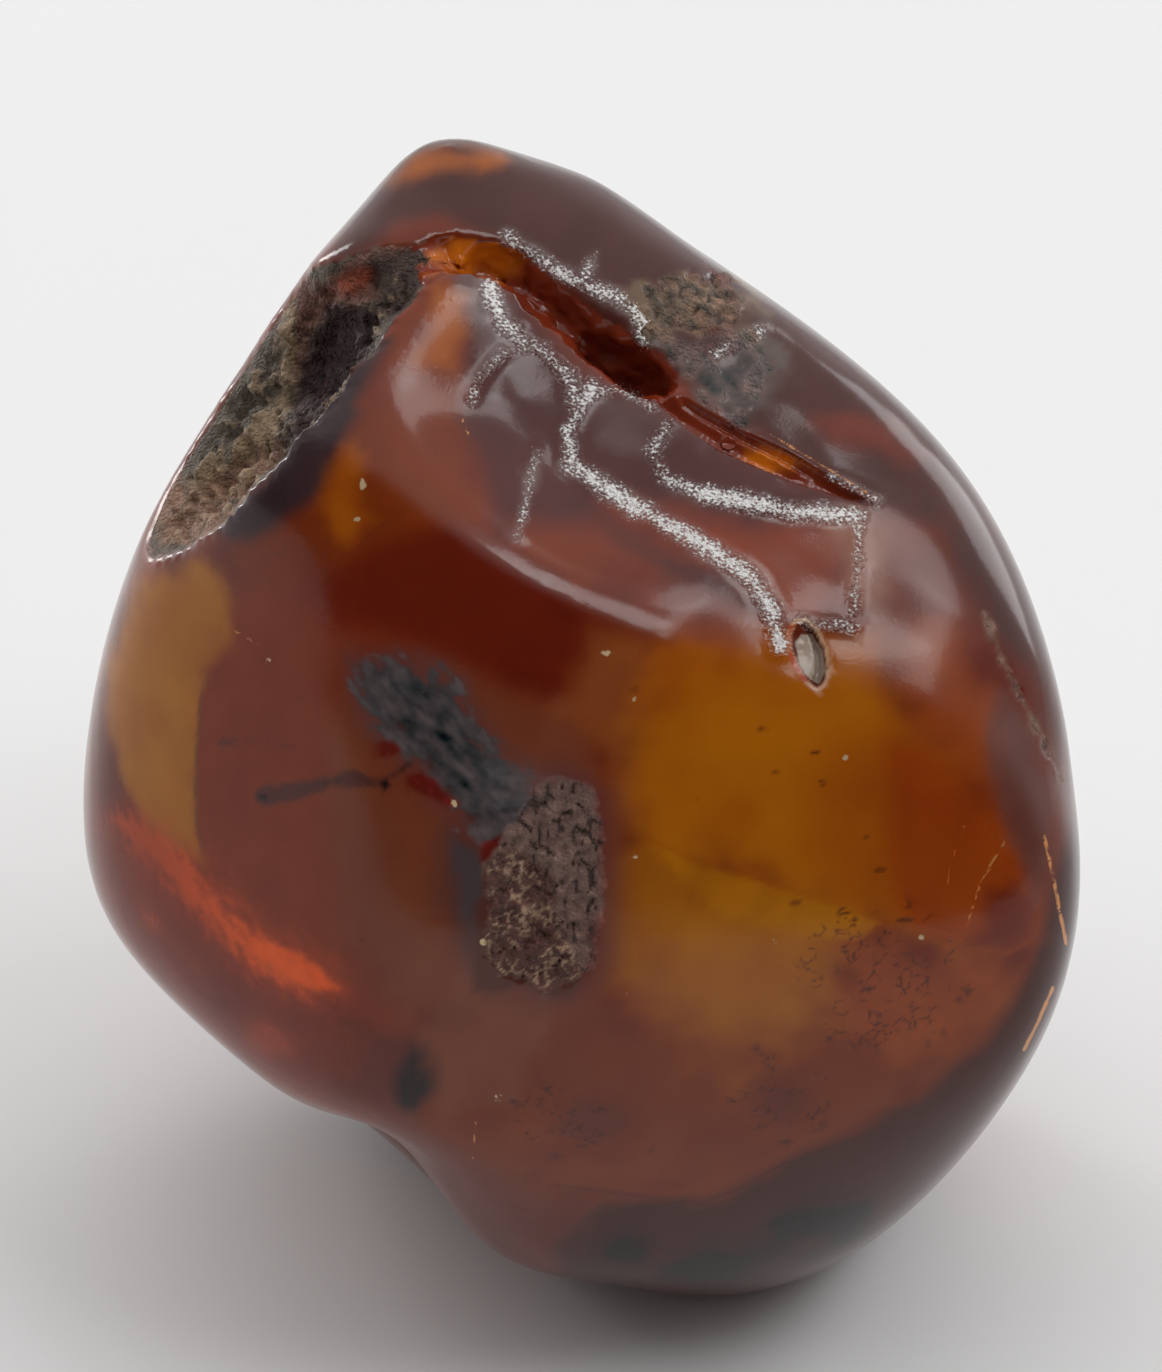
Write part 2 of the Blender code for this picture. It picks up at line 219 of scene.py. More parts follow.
PATCHES: dict[str, tuple[Patch, ...]] = {
    # Washes of colour in the amber.
    "honey": (
        area(
            (636, 730), (650, 694), (688, 668), (730, 655), (775, 646), (820, 640), (862, 644), (880, 672),
            (902, 706), (914, 738), (908, 770), (950, 800), (985, 850), (1008, 905), (1002, 940), (960, 944),
            (915, 930), (860, 908), (809, 890), (760, 874), (710, 860), (664, 846), (642, 826), (634, 780),
        ),
    ),
    "honey_left": (
        area(
            (586, 632), (640, 650), (654, 690), (640, 740), (640, 830), (606, 850), (600, 790), (588, 740),
            (552, 716), (575, 690),
        ),
    ),
    "honey_rim": (area((640, 700), (680, 640), (760, 625), (860, 625), (890, 690), (840, 700), (700, 720)),),
    "deep_wide": (
        area(
            (840, 742), (876, 733), (920, 750), (965, 790), (1004, 850), (1020, 920), (960, 945), (900, 925),
            (850, 900), (812, 850), (815, 790),
        ),
    ),
    "deep": (
        area(
            (884, 735), (915, 748), (960, 778), (992, 812), (1018, 860), (1034, 905), (1030, 940), (1004, 953),
            (960, 946), (915, 930), (900, 905), (892, 870), (884, 810),
        ),
    ),
    "deep_tip": (area((988, 890), (1016, 884), (1034, 908), (1030, 938), (1006, 952), (962, 946), (984, 925)),),
    "glow_strip": (
        area(
            (664, 850), (700, 864), (760, 880), (830, 903), (880, 922), (862, 940), (800, 936), (730, 916),
            (680, 884),
        ),
    ),
    "honey_line": (
        line(2.2, (644, 836), (700, 864), (760, 880), (830, 903), (900, 928), (960, 945), (1008, 952), (1030, 942)),
    ),
    "under_glow": (
        area(
            (640, 842), (700, 864), (760, 882), (820, 900), (856, 950), (830, 1000), (780, 1040), (720, 1050),
            (660, 1010), (622, 970), (606, 920), (616, 860),
        ),
    ),
    "milk": (
        area(
            (205, 598), (260, 596), (328, 614), (397, 633), (454, 648), (485, 671), (508, 686), (531, 690),
            (575, 720), (612, 770), (618, 860), (612, 940), (600, 1010), (520, 1040), (440, 990), (400, 1040),
            (350, 1020), (330, 985), (260, 930), (215, 880), (196, 828), (198, 744), (209, 675),
        ),
    ),
    "milk_line": (
        line(1.6, (209, 672), (200, 700), (197, 745), (195, 790), (197, 832), (208, 872), (226, 905)),
    ),
    "pore": (spot(263, 797, 4, 3), spot(385, 786, 4, 5)),
    "milk_edge": (
        area(
            (212, 668), (201, 700), (198, 745), (196, 790), (198, 832), (209, 872), (226, 904), (262, 916),
            (244, 870), (236, 800), (238, 740), (250, 690), (240, 664),
        ),
    ),
    "low_body": (
        area(
            (400, 1060), (520, 1030), (620, 1010), (900, 1010), (1030, 960), (1000, 1060), (900, 1110), (800, 1160),
            (700, 1204), (600, 1196), (500, 1190), (420, 1150),
        ),
    ),
    "milk_front": (
        area(
            (345, 672), (454, 652), (508, 690), (560, 712), (600, 770), (612, 870), (612, 940), (600, 1010),
            (520, 1040), (440, 1020), (380, 1000), (345, 940), (330, 850), (330, 740),
        ),
    ),
    "veil": (
        area((562, 686), (580, 720), (610, 768), (598, 792), (556, 776), (520, 765), (542, 725)),
        area((496, 880), (520, 960), (560, 1000), (520, 1100), (440, 1120), (420, 1040), (470, 960)),
    ),
    "olive": (
        area(
            (124, 616), (146, 584), (176, 568), (206, 568), (226, 588), (228, 622), (215, 660), (204, 700),
            (200, 750), (198, 828), (208, 872), (160, 830), (122, 780), (108, 720), (112, 660),
        ),
    ),
    "wine": (
        area(
            (330, 570), (380, 530), (440, 520), (500, 556), (560, 590), (592, 624), (594, 668), (576, 696),
            (531, 690), (508, 686), (485, 671), (454, 648), (397, 633), (328, 614), (300, 596),
        ),
    ),
    "russet": (
        area(
            (250, 545), (297, 500), (330, 440), (380, 380), (440, 300), (462, 345), (455, 420), (470, 500),
            (430, 530), (380, 540), (320, 580), (260, 585),
        ),
    ),
    "rim_shade": (
        area(
            (390, 340), (372, 376), (356, 404), (362, 414), (340, 446), (324, 484), (301, 511), (274, 530),
            (247, 541), (228, 538), (215, 525), (250, 490), (290, 440), (325, 390), (370, 345),
        ),
    ),
    "flame": (
        area(
            (437, 288), (457, 303), (464, 331), (457, 350), (453, 369), (426, 369), (418, 358), (426, 334),
            (429, 311),
        ),
        area((348, 443), (363, 459), (359, 506), (371, 521), (348, 544), (332, 533), (328, 498), (336, 467)),
        area((392, 182), (414, 158), (440, 148), (470, 152), (499, 160), (484, 170), (450, 168), (420, 178)),
    ),
    "dusk": (area((815, 422), (850, 416), (888, 430), (925, 452), (915, 466), (870, 456), (832, 446)),),
    # painted glow: light caught in an inner fracture, laid as bright orange
    "ember": (
        area(
            (112, 820), (138, 814), (165, 834), (190, 862), (216, 896), (246, 930), (288, 955), (332, 986),
            (320, 994), (282, 984), (246, 962), (212, 926), (184, 900), (156, 868), (130, 846),
        ),
    ),
    # painted glow at the tip of the fracture streaks
    "ember_tip": (area((256, 938), (290, 950), (318, 968), (338, 988), (316, 991), (284, 978), (258, 957)),),
    "ember_low": (
        area((240, 1020), (262, 1020), (292, 1036), (308, 1044), (300, 1060), (270, 1052), (244, 1040)),
        line(1.5, (118, 890), (150, 924), (200, 968)),
    ),
    "brick": (
        area(
            (880, 650), (930, 630), (975, 660), (1005, 730), (1000, 790), (965, 780), (920, 744), (898, 700),
        ),
        area(
            (846, 930), (900, 944), (960, 962), (1010, 958), (1000, 1000), (960, 1040), (900, 1060), (850, 1040),
            (836, 980),
        ),
    ),
    # painted highlight: a pale pink-tan patch that stands for the soft sheen on the right of the top face
    "satin": (area((826, 524), (858, 516), (884, 530), (886, 580), (876, 616), (850, 606), (836, 570)),),
    "speck": (
        spot(762, 729, 4, 3), spot(815, 753, 6, 2.5), spot(822, 783, 3), spot(880, 869, 7, 2.5), spot(776, 772, 2.5),
        spot(868, 836, 2.5), spot(700, 800, 2), spot(634, 690, 5, 2.5), spot(574, 607, 3), spot(905, 920, 9, 2.5),
        spot(795, 902, 5, 2), spot(360, 940, 3), spot(420, 1010, 3), spot(300, 700, 2.5), spot(650, 1150, 3),
    ),
    "ember_haze": (
        area(
            (104, 850), (150, 846), (190, 900), (240, 960), (320, 1006), (350, 1060), (330, 1112), (240, 1060),
            (140, 985), (100, 920),
        ),
    ),
    "blood": (
        spot(386, 750, 13, 7),
        area((400, 772), (425, 764), (440, 780), (458, 805), (448, 808), (425, 797), (402, 787)),
        area((478, 840), (500, 834), (530, 840), (545, 858), (520, 872), (495, 872), (480, 862)),
    ),
    "smoke": (
        area(
            (1110, 740), (1062, 850), (1050, 905), (1024, 985), (985, 1042), (925, 1092), (856, 1130),
            (790, 1160), (735, 1190), (700, 1204), (640, 1196), (600, 1204), (560, 1250), (560, 1320), (1100, 1320),
            (1140, 900),
        ),
    ),
    "smoke_line": (line(1.2, (551, 1185), (600, 1191), (650, 1197), (700, 1203), (735, 1190), (790, 1160)),),
    "low_shade": (area((400, 1130), (470, 1165), (540, 1205), (640, 1215), (640, 1320), (380, 1320)),),
    "right_shade": (
        line(20, (940, 440), (985, 540), (1028, 600), (1058, 690), (1082, 790), (1090, 880), (1086, 960)),
        area((940, 500), (990, 540), (1030, 620), (1040, 670), (1014, 660), (986, 620), (955, 570)),
    ),
    # a mauve, darker patch on the right, below the side crust
    "bruise": (
        area(
            (1004, 690), (1030, 730), (1052, 790), (1050, 850), (1034, 900), (1018, 850), (1000, 812), (990, 770),
            (990, 720),
        ),
    ),
    "crown": (
        area(
            (440, 120), (390, 160), (330, 240), (318, 290), (345, 262), (400, 228), (440, 218), (520, 248),
            (600, 316), (668, 360), (740, 428), (870, 500), (935, 520), (935, 420), (600, 150),
        ),
    ),
    "shelf": (
        area(
            (470, 280), (520, 300), (590, 372), (662, 400), (740, 446), (866, 506), (880, 600), (850, 640),
            (700, 600), (600, 530), (500, 520), (462, 420),
        ),
    ),
    "feather": (
        area((588, 392), (620, 386), (660, 396), (704, 420), (716, 440), (690, 446), (640, 442), (606, 432)),
        area((470, 286), (500, 290), (516, 330), (500, 350), (478, 330)),
    ),
    "shelf_red": (
        area((600, 505), (700, 520), (790, 520), (856, 524), (852, 610), (790, 616), (740, 570), (660, 540)),
    ),
    # dark patches along the bottom edge, and two small dark spots lower left
    "soot": (
        area((772, 1226), (790, 1206), (830, 1199), (866, 1206), (878, 1224), (862, 1240), (800, 1246)),
        area((662, 1278), (680, 1256), (720, 1246), (790, 1240), (820, 1250), (760, 1276), (700, 1286)),
        spot(624, 1250, 20, 18),
        spot(410, 1080, 17, 30),
        spot(222, 1006, 8, 11),
    ),
    "stain": (spot(392, 1078, 36, 44), spot(786, 1100, 26, 22), spot(600, 1120, 40, 26)),
    # Bark in and on the amber.
    "slate": (
        area(
            (357, 664), (380, 660), (404, 664), (430, 676), (452, 690), (468, 712), (480, 735), (492, 758),
            (515, 772), (532, 785), (536, 805), (530, 830), (520, 850), (505, 852), (490, 846), (470, 838),
            (460, 815), (440, 795), (420, 772), (400, 750), (382, 728), (366, 705), (358, 684),
        ),
    ),
    "slate_tail": (area((448, 824), (486, 838), (498, 880), (498, 945), (480, 960), (456, 930), (442, 885)),),
    "slate_branch": (area((450, 832), (478, 850), (492, 880), (494, 930), (484, 938), (470, 915), (458, 880)),),
    "twig": (
        spot(268, 796, 13, 9),
        line(6, (268, 797), (300, 790), (322, 783)),
        line(4, (262, 797), (290, 791), (320, 782), (350, 779), (378, 783), (392, 776), (410, 764)),
        line(1.6, (222, 742), (262, 740), (292, 748)),
    ),
    "crust": (
        area(
            (500, 840), (528, 800), (540, 782), (560, 778), (580, 784), (597, 800), (604, 840), (603, 900),
            (597, 950), (586, 972), (562, 988), (530, 986), (500, 974), (484, 955), (488, 905), (486, 870),
        ),
    ),
    "crust_low": (
        area(
            (480, 900), (490, 862), (512, 850), (530, 862), (548, 880), (558, 920), (572, 950), (582, 980),
            (560, 992), (478, 990),
        ),
    ),
    "brow": (
        area(
            (640, 292), (660, 276), (700, 269), (730, 278), (744, 300), (738, 326), (704, 336), (676, 334),
            (654, 320), (644, 306),
        ),
    ),
    "brow_grey": (
        area(
            (650, 330), (700, 345), (760, 330), (772, 372), (756, 408), (742, 432), (712, 412), (690, 386),
            (672, 360),
        ),
    ),
    "side_crust": (line(3.2, (984, 612), (1000, 654), (1022, 698), (1044, 744), (1060, 780)),),
    "pink_bark": (
        area(
            (289, 303), (301, 288), (332, 276), (348, 264), (379, 249), (402, 233), (437, 226), (441, 257),
            (410, 264), (387, 276), (379, 299), (363, 303), (332, 311), (317, 331), (305, 358), (297, 381),
            (289, 373), (293, 338),
        ),
    ),
    "pocket": (
        area(
            (317, 331), (332, 311), (379, 307), (379, 338), (363, 366), (340, 393), (301, 439), (286, 443),
            (289, 412), (301, 381),
        ),
    ),
    "ridge": (line(7, (286, 303), (291, 338), (288, 385), (278, 416), (254, 443), (227, 463), (196, 482)),),
    "tan_end": (
        area(
            (153, 498), (196, 478), (258, 447), (286, 443), (262, 482), (223, 525), (184, 548), (153, 529),
            (146, 506),
        ),
    ),
    "bark_dark": (
        area((372, 268), (400, 244), (442, 236), (446, 282), (424, 304), (400, 334), (380, 340), (384, 300)),
    ),
    "rust": (spot(348, 281, 14, 9),),
    # Small marks, and the glint bands, which are raised, bumped and also painted with highlights.
    "crackle": (spot(880, 975, 74, 66), spot(782, 1095, 38, 34), spot(560, 1115, 30, 26)),
    "crack_glow": (spot(478, 256, 44, 22), spot(776, 458, 34, 13)),
    "seam": (
        area(
            (640, 376), (668, 388), (700, 408), (740, 431), (790, 453), (830, 478), (872, 504), (850, 500),
            (800, 484), (760, 468), (720, 450), (690, 430), (660, 405),
        ),
    ),
    "bowl": (
        area(
            (789, 634), (795, 623), (806, 621), (817, 631), (825, 648), (828, 668), (825, 683), (817, 690),
            (807, 682), (797, 666), (790, 650),
        ),
    ),
    "bowl_rim": (
        line(
            2.2, (795, 622), (806, 620), (817, 630), (826, 648), (829, 668), (826, 684), (817, 691), (807, 683),
            (797, 667), (790, 650), (789, 634), (795, 622),
        ),
    ),
    # painted reflection: the pale grey floor of the pit
    "pit_floor": (
        area((795, 642), (801, 634), (812, 635), (822, 650), (825, 670), (820, 685), (809, 679), (799, 663)),
    ),
    "near_rim": (line(15, (447, 276), (420, 305), (377, 345), (321, 420), (304, 440)),),
    "scratch": (
        line(1.6, (1044, 836), (1054, 880), (1066, 944)),
        line(1.6, (1053, 988), (1038, 1022), (1024, 1050)),
        line(1.2, (1004, 842), (980, 884), (966, 928)),
        line(1.0, (228, 628), (257, 643)),
        line(0.9, (478, 1103), (472, 1160)),
        line(1.6, (462, 418), (468, 434)),
        line(0.7, (964, 826), (952, 860), (944, 900)),
        line(0.8, (770, 434), (800, 452), (830, 470), (866, 492)),
    ),
    "fleck": (
        spot(606, 653, 5, 3), spot(268, 661, 3), spot(484, 942, 5, 4), spot(634, 857, 4, 2), spot(624, 994, 4, 2),
        spot(363, 484, 2, 6), spot(356, 520, 2.5, 2), spot(845, 758, 3, 2), spot(455, 803, 3), spot(775, 942, 2.5),
        spot(498, 1099, 3, 5), spot(921, 937, 1.5), spot(205, 465, 5), spot(190, 476, 4), spot(634, 697, 3, 6),
    ),
    # the glint bands: crazed skin that is raised and bumped, and also painted with highlights
    "glint": (
        line(7, (489, 284), (499, 316), (518, 338), (544, 351), (567, 374), (573, 400)),
        line(2.5, (547, 345), (502, 355), (483, 374), (470, 400)),
        line(5, (593, 384), (567, 432), (573, 464)),
        line(9, (573, 464), (618, 496), (663, 522), (715, 551), (754, 580), (773, 612), (779, 645)),
        line(5, (667, 426), (651, 451), (663, 477), (702, 493)),
        line(8, (702, 493), (754, 503), (799, 512), (860, 516)),
        line(3, (860, 516), (857, 561), (854, 612)),
        line(4, (796, 622), (831, 625), (854, 628)),
        line(2, (538, 451), (528, 490), (519, 535)),
        line(6, (509, 239), (541, 261), (580, 284), (618, 297), (644, 322), (644, 342)),
        line(4, (580, 284), (593, 258)),
        line(3, (831, 477), (863, 493), (876, 503)),
        line(5, (715, 355), (760, 332)),
        line(3, (588, 396), (620, 386), (650, 406)),
    ),
}


class Num:
    """A shader number: it wraps an output socket, so that sums on it add Math nodes."""

    def __init__(self, tree: "Nodes", socket: bpy.types.NodeSocket) -> None:
        """Keeps the tree that its nodes are added to."""
        self.tree = tree
        self.socket = socket

    def _with(self, operation: str, *others: "Num | float") -> "Num":
        """A Math node on this number and the others."""
        values = {index: value for index, value in enumerate((self, *others))}
        return self.tree.add("ShaderNodeMath", {"operation": operation}, values)

    def __add__(self, other: "Num | float") -> "Num":
        """The sum."""
        return self._with("ADD", other)

    def __radd__(self, other: float) -> "Num":
        """The sum."""
        return self._with("ADD", other)

    def __sub__(self, other: "Num | float") -> "Num":
        """The difference."""
        return self._with("SUBTRACT", other)

    def __rsub__(self, other: float) -> "Num":
        """The difference, from a plain number."""
        return self * -1 + other

    def __mul__(self, other: "Num | float") -> "Num":
        """The product."""
        return self._with("MULTIPLY", other)

    def __rmul__(self, other: float) -> "Num":
        """The product."""
        return self._with("MULTIPLY", other)

    def step(self, low: float, high: float) -> "Num":
        """A smooth step: 0 below low, 1 above high."""
        settings = {"interpolation_type": "SMOOTHSTEP"}
        return self.tree.add("ShaderNodeMapRange", settings, {0: self, 1: low, 2: high, 3: 0.0, 4: 1.0})


class Nodes:
    """A node tree, with one way to add any node."""

    def __init__(self, owner: bpy.types.Material | bpy.types.World, places: str = "Object") -> None:
        """Empties the owner's tree and reads places from this output of Texture Coordinate."""
        owner.use_nodes = True
        self.tree = owner.node_tree
        self.tree.nodes.clear()
        self.places = self.add("ShaderNodeTexCoord", {}, {}, places)

    def add(self, kind: str, settings: dict, values: dict, output: str | int = 0) -> Num | None:
        """Adds a node.

        Args:
            kind: the node's type.
            settings: its own settings, set before its sockets.
            values: plain values, or what other nodes give, for its sockets by name or number.
            output: the socket that is returned.

        Returns:
            The wrapped output socket, or None for a node without one.
        """
        node = self.tree.nodes.new(kind)
        for key, value in settings.items():
            setattr(node, key, value)
        for key, value in values.items():
            socket = node.inputs[key]
            if isinstance(value, Num):
                self.tree.links.new(value.socket, socket)
            elif isinstance(value, tuple) and len(value) == 3 and socket.type == "RGBA":
                socket.default_value = (*value, 1.0)
            else:
                socket.default_value = value
        return Num(self, node.outputs[output]) if node.outputs else None

    def noise(self, scale_mm: float, detail: float = 1.0, stretch: Triple = (1, 1, 1), turn: Triple = (0, 0, 0)) -> Num:
        """Noise about 0.

        Args:
            scale_mm: how far apart its features are, in millimetres.
            detail: how many finer layers it has.
            stretch: how many times longer it is along each axis.
            turn: how those axes are turned, in radians.

        Returns:
            A number from about -0.3 to 0.3.
        """
        places = self.places
        if stretch != (1, 1, 1):
            places = self.add(
                "ShaderNodeMapping", {"vector_type": "TEXTURE"}, {"Vector": places, "Rotation": turn, "Scale": stretch}
            )
        values = {"Vector": places, "Scale": 1 / (scale_mm * MM), "Detail": detail}
        return self.add("ShaderNodeTexNoise", {}, values, "Fac") - 0.5

    def field(self, name: str, output: str = "Fac") -> Num:
        """A field of the piece."""
        return self.add("ShaderNodeAttribute", {"attribute_name": name}, {}, output)

    def mix(self, factor: "Num | float", first: "Num | Triple", second: "Num | Triple", blend: str = "MIX") -> Num:
        """A colour between two others, or blended with the second."""
        settings = {"data_type": "RGBA", "blend_type": blend, "clamp_factor": True}
        return self.add("ShaderNodeMix", settings, {0: factor, 6: first, 7: second}, 2)


@dataclass(frozen=True)
class Wash:
    """A wash of colour on the skin.

    soft is how wide its edge is and wander how far that edge strays, in millimetres. cover is how strongly it
    covers what lies under it, and clear how see-through the amber is there, where None leaves it.
    """

    zone: str
    tone: Triple
    soft: float
    wander: float = 0.3
    cover: float = 1.0
    clear: float | None = None


# Patches whose skin is made finer, and those where it is then made finer once more.
FINER = (
    "crust", "slate", "brow", "brow_grey", "side_crust", "glint", "near_rim", "crackle", "ember", "honey_line",
    "smoke_line", "milk_line", "twig", "pore", "scratch", "speck", "fleck",
)
FINEST = ("crust", "slate", "seam", "bowl", "near_rim", "crackle")

# Patches whose borders are frayed by the small noise, and how far, in millimetres.
FRAYED = {"crust": 0.35, "brow": 0.6, "brow_grey": 0.6, "side_crust": 0.25, "glint": 0.22}

# From the widest wash to the smallest, each over the ones before it. Tones are linear light.
WASHES: tuple[Wash, ...] = (
    Wash("low_body", (0.200, 0.034, 0.006), 3.0, 0.6, 0.85, 0.05),
    Wash("low_shade", (0.105, 0.014, 0.008), 2.6, 0.4, 0.85, 0.05),
    Wash("smoke", (0.050, 0.010, 0.007), 0.9, 0.25, 0.94, 0.03),
    Wash("smoke_line", (0.070, 0.010, 0.006), 0.15, 0.0, 0.7, 0.0),
    Wash("milk", (0.200, 0.026, 0.004), 0.8, 0.15, 1.0, 0.03),
    Wash("milk_front", (0.180, 0.042, 0.016), 2.4, 0.3, 0.95, 0.03),
    Wash("veil", (0.205, 0.056, 0.026), 0.9, 0.3, 0.7, 0.03),
    Wash("wine", (0.170, 0.010, 0.001), 1.6, 0.4, 0.95, 0.60),
    Wash("olive", (0.450, 0.150, 0.003), 1.2, 0.25, 0.95, 0.15),
    Wash("milk_edge", (0.200, 0.026, 0.004), 0.3, 0.05, 1.0, 0.03),
    Wash("under_glow", (0.450, 0.140, 0.002), 4.2, 0.5, 0.8, 0.10),
    Wash("honey_left", (0.262, 0.062, 0.013), 1.8, 0.3, 0.9, 0.05),
    Wash("honey_rim", (0.390, 0.080, 0.002), 2.6, 0.3, 0.8, 0.15),
    Wash("honey", (0.500, 0.136, 0.001), 3.2, 0.4, 1.0, 0.22),
    Wash("brick", (0.330, 0.062, 0.008), 2.4, 0.4, 0.8, 0.10),
    Wash("deep_wide", (0.440, 0.090, 0.001), 3.6, 0.4, 0.8, 0.30),
    Wash("deep", (0.430, 0.056, 0.001), 1.5, 0.25, 0.85, 0.35),
    Wash("deep_tip", (0.190, 0.016, 0.001), 1.0, 0.2, 0.9, 0.30),
    Wash("glow_strip", (0.520, 0.175, 0.001), 0.5, 0.1, 0.6, 0.15),
    Wash("honey_line", (0.340, 0.066, 0.001), 0.2, 0.0, 0.45, None),
    Wash("speck", (0.130, 0.022, 0.002), 0.12, 0.0, 0.8, None),
    Wash("russet", (0.240, 0.034, 0.002), 1.8, 0.4, 0.9, 0.20),
    Wash("crown", (0.070, 0.016, 0.012), 1.4, 0.3, 1.0, 0.05),
    Wash("shelf", (0.085, 0.018, 0.016), 1.8, 0.4, 1.0, 0.08),
    Wash("feather", (0.150, 0.086, 0.084), 1.2, 0.6, 0.65, 0.03),
    Wash("shelf_red", (0.280, 0.036, 0.003), 2.4, 0.4, 0.9, 0.15),
    # painted highlight: the pale pink-tan sheen on the right of the top face
    Wash("satin", (0.330, 0.140, 0.095), 1.6, 0.3, 0.75, 0.05),
    Wash("right_shade", (0.050, 0.018, 0.016), 2.0, 0.3, 0.85, 0.05),
    # a mauve, darker patch on the right, below the side crust
    Wash("bruise", (0.120, 0.044, 0.036), 1.2, 0.3, 0.85, 0.0),
    Wash("ember_haze", (0.240, 0.020, 0.004), 3.0, 0.5, 0.85, 0.30),
    # painted glow: more streaks of the lit inner fractures
    Wash("ember_low", (0.520, 0.064, 0.006), 0.8, 0.25, 0.5, None),
    Wash("rim_shade", (0.036, 0.020, 0.024), 1.1, 0.15, 0.95, 0.05),
    Wash("flame", (0.480, 0.110, 0.002), 1.1, 0.25, 0.9, 0.20),
    Wash("dusk", (0.200, 0.022, 0.004), 1.4, 0.3, 0.8, 0.20),
    Wash("stain", (0.110, 0.020, 0.014), 1.6, 0.4, 0.65, 0.0),
    # darker patches near the bottom, and two small dark spots lower left
    Wash("soot", (0.012, 0.006, 0.006), 1.0, 0.4, 0.97, 0.0),
    Wash("crust_halo", (0.120, 0.036, 0.034), 2.0, 0.3, 0.8, 0.0),
    Wash("slate_tail", (0.072, 0.032, 0.030), 1.8, 0.5, 0.8, 0.0),
    Wash("slate_branch", (0.058, 0.050, 0.056), 0.6, 0.4, 0.75, 0.0),
    Wash("twig", (0.058, 0.016, 0.014), 0.3, 0.15, 0.85, 0.0),
    Wash("milk_line", (0.070, 0.014, 0.008), 0.2, 0.05, 0.6, 0.0),
    Wash("pore", (0.012, 0.004, 0.004), 0.12, 0.0, 1.0, 0.0),
    Wash("slate", (0.054, 0.052, 0.054), 0.9, 0.4, 0.92, 0.0),
    Wash("blood", (0.120, 0.006, 0.002), 0.4, 0.3, 0.9, 0.0),
    Wash("crust", (0.165, 0.088, 0.068), 0.5, 0.4, 1.0, 0.0),
    Wash("crust_low", (0.085, 0.024, 0.016), 0.6, 0.3, 0.95, 0.0),
    # painted sheen: a grey haze over the glint bands, around their painted specks
    Wash("glint", (0.250, 0.180, 0.170), 0.7, 0.2, 0.5, 0.0),
    Wash("brow_grey", (0.115, 0.080, 0.072), 1.6, 0.6, 0.9, 0.0),
    Wash("brow", (0.145, 0.084, 0.050), 1.2, 0.8, 1.0, 0.0),
    Wash("side_crust", (0.170, 0.085, 0.055), 0.25, 0.1, 0.9, 0.0),
    Wash("seam", (0.075, 0.010, 0.004), 0.25, 0.15, 0.95, 0.0),
    Wash("bowl", (0.110, 0.014, 0.004), 0.2, 0.0, 1.0, 0.0),
    Wash("bowl_rim", (0.560, 0.330, 0.200), 0.1, 0.0, 1.0, 0.0),
    # painted highlight along the hollow's rounded near lip, partly a pale chipped edge
    Wash("lip_line", (0.330, 0.290, 0.270), 0.3, 0.0, 0.55, 0.0),
)
HOLLOW_WASHES: tuple[Wash, ...] = (
    Wash("bark", (0.092, 0.064, 0.042), 0.3, 0.0),
    Wash("tan_end", (0.260, 0.140, 0.085), 1.0, 0.5),
    Wash("pink_bark", (0.190, 0.082, 0.058), 0.8, 0.3),
    Wash("bark_dark", (0.060, 0.030, 0.022), 0.8, 0.3),
    Wash("pocket", (0.040, 0.014, 0.014), 0.9, 0.3),
    Wash("ridge", (0.290, 0.200, 0.120), 0.5, 0.2, 0.8),
    Wash("rust", (0.300, 0.050, 0.015), 0.6, 0.3, 0.8),
)


# Places on the sides and the back, which the photograph doesn't show: a middle and a radius in millimetres.
BACK_PLACES: dict[str, tuple[tuple[float, float, float, float], ...]] = {
    "back_honey": ((-5, 21, 18, 11), (21, 9, 30, 8), (-21, 9, 30, 7)),
    "back_wine": ((11, 20, 38, 9), (-15, 18, 40, 8), (20, 12, 10, 8)),
    "back_olive": ((-20, 13, 14, 8), (2, 20, 30, 6)),
    "back_smoke": ((2, 14, 2, 16), (8, 8, 52, 9)),
    "back_halo": ((6, 22, 27, 5.2), (9, 21, 22, 4.2), (-17, 17, 25, 3.4), (18, 15, 38, 3.6)),
    "back_crackle": ((14, 18, 27, 3.4),),
    "back_bark": ((6, 22, 27, 4.2), (9, 21, 22, 3.2), (-17, 17, 25, 2.4), (18, 15, 38, 2.6)),
}
BACK_WASHES: tuple[Wash, ...] = (
    Wash("back_olive", (0.250, 0.066, 0.006), 4.0, 1.6, 0.9, 0.10),
    Wash("back_honey", (0.400, 0.100, 0.001), 5.0, 2.0, 1.0, 0.50),
    Wash("back_wine", (0.120, 0.009, 0.001), 5.0, 2.0, 0.95, 0.45),
    Wash("back_smoke", (0.050, 0.012, 0.009), 6.0, 2.0, 0.9, 0.03),
    Wash("back_halo", (0.105, 0.028, 0.020), 2.0, 1.0, 0.8, 0.0),
    Wash("back_bark", (0.130, 0.078, 0.054), 1.0, 1.0, 1.0, 0.0),
)


@dataclass(frozen=True)
class BodyTones:
    """The colours that no wash lays, as linear light, and how clear the amber is where no wash lies."""

    body: Triple = (0.215, 0.032, 0.006)
    body_dark: Triple = (0.140, 0.017, 0.004)
    crack: Triple = (0.200, 0.026, 0.008)
    # painted glow of the inner fracture streaks on the left, bright and dim
    ember: Triple = (0.900, 0.105, 0.004)
    ember_glow_dim: Triple = (0.400, 0.045, 0.006)
    crack_glow: Triple = (0.620, 0.150, 0.004)
    crackle: Triple = (0.045, 0.010, 0.006)
    web: Triple = (0.360, 0.220, 0.140)
    clear_body: float = 0.06


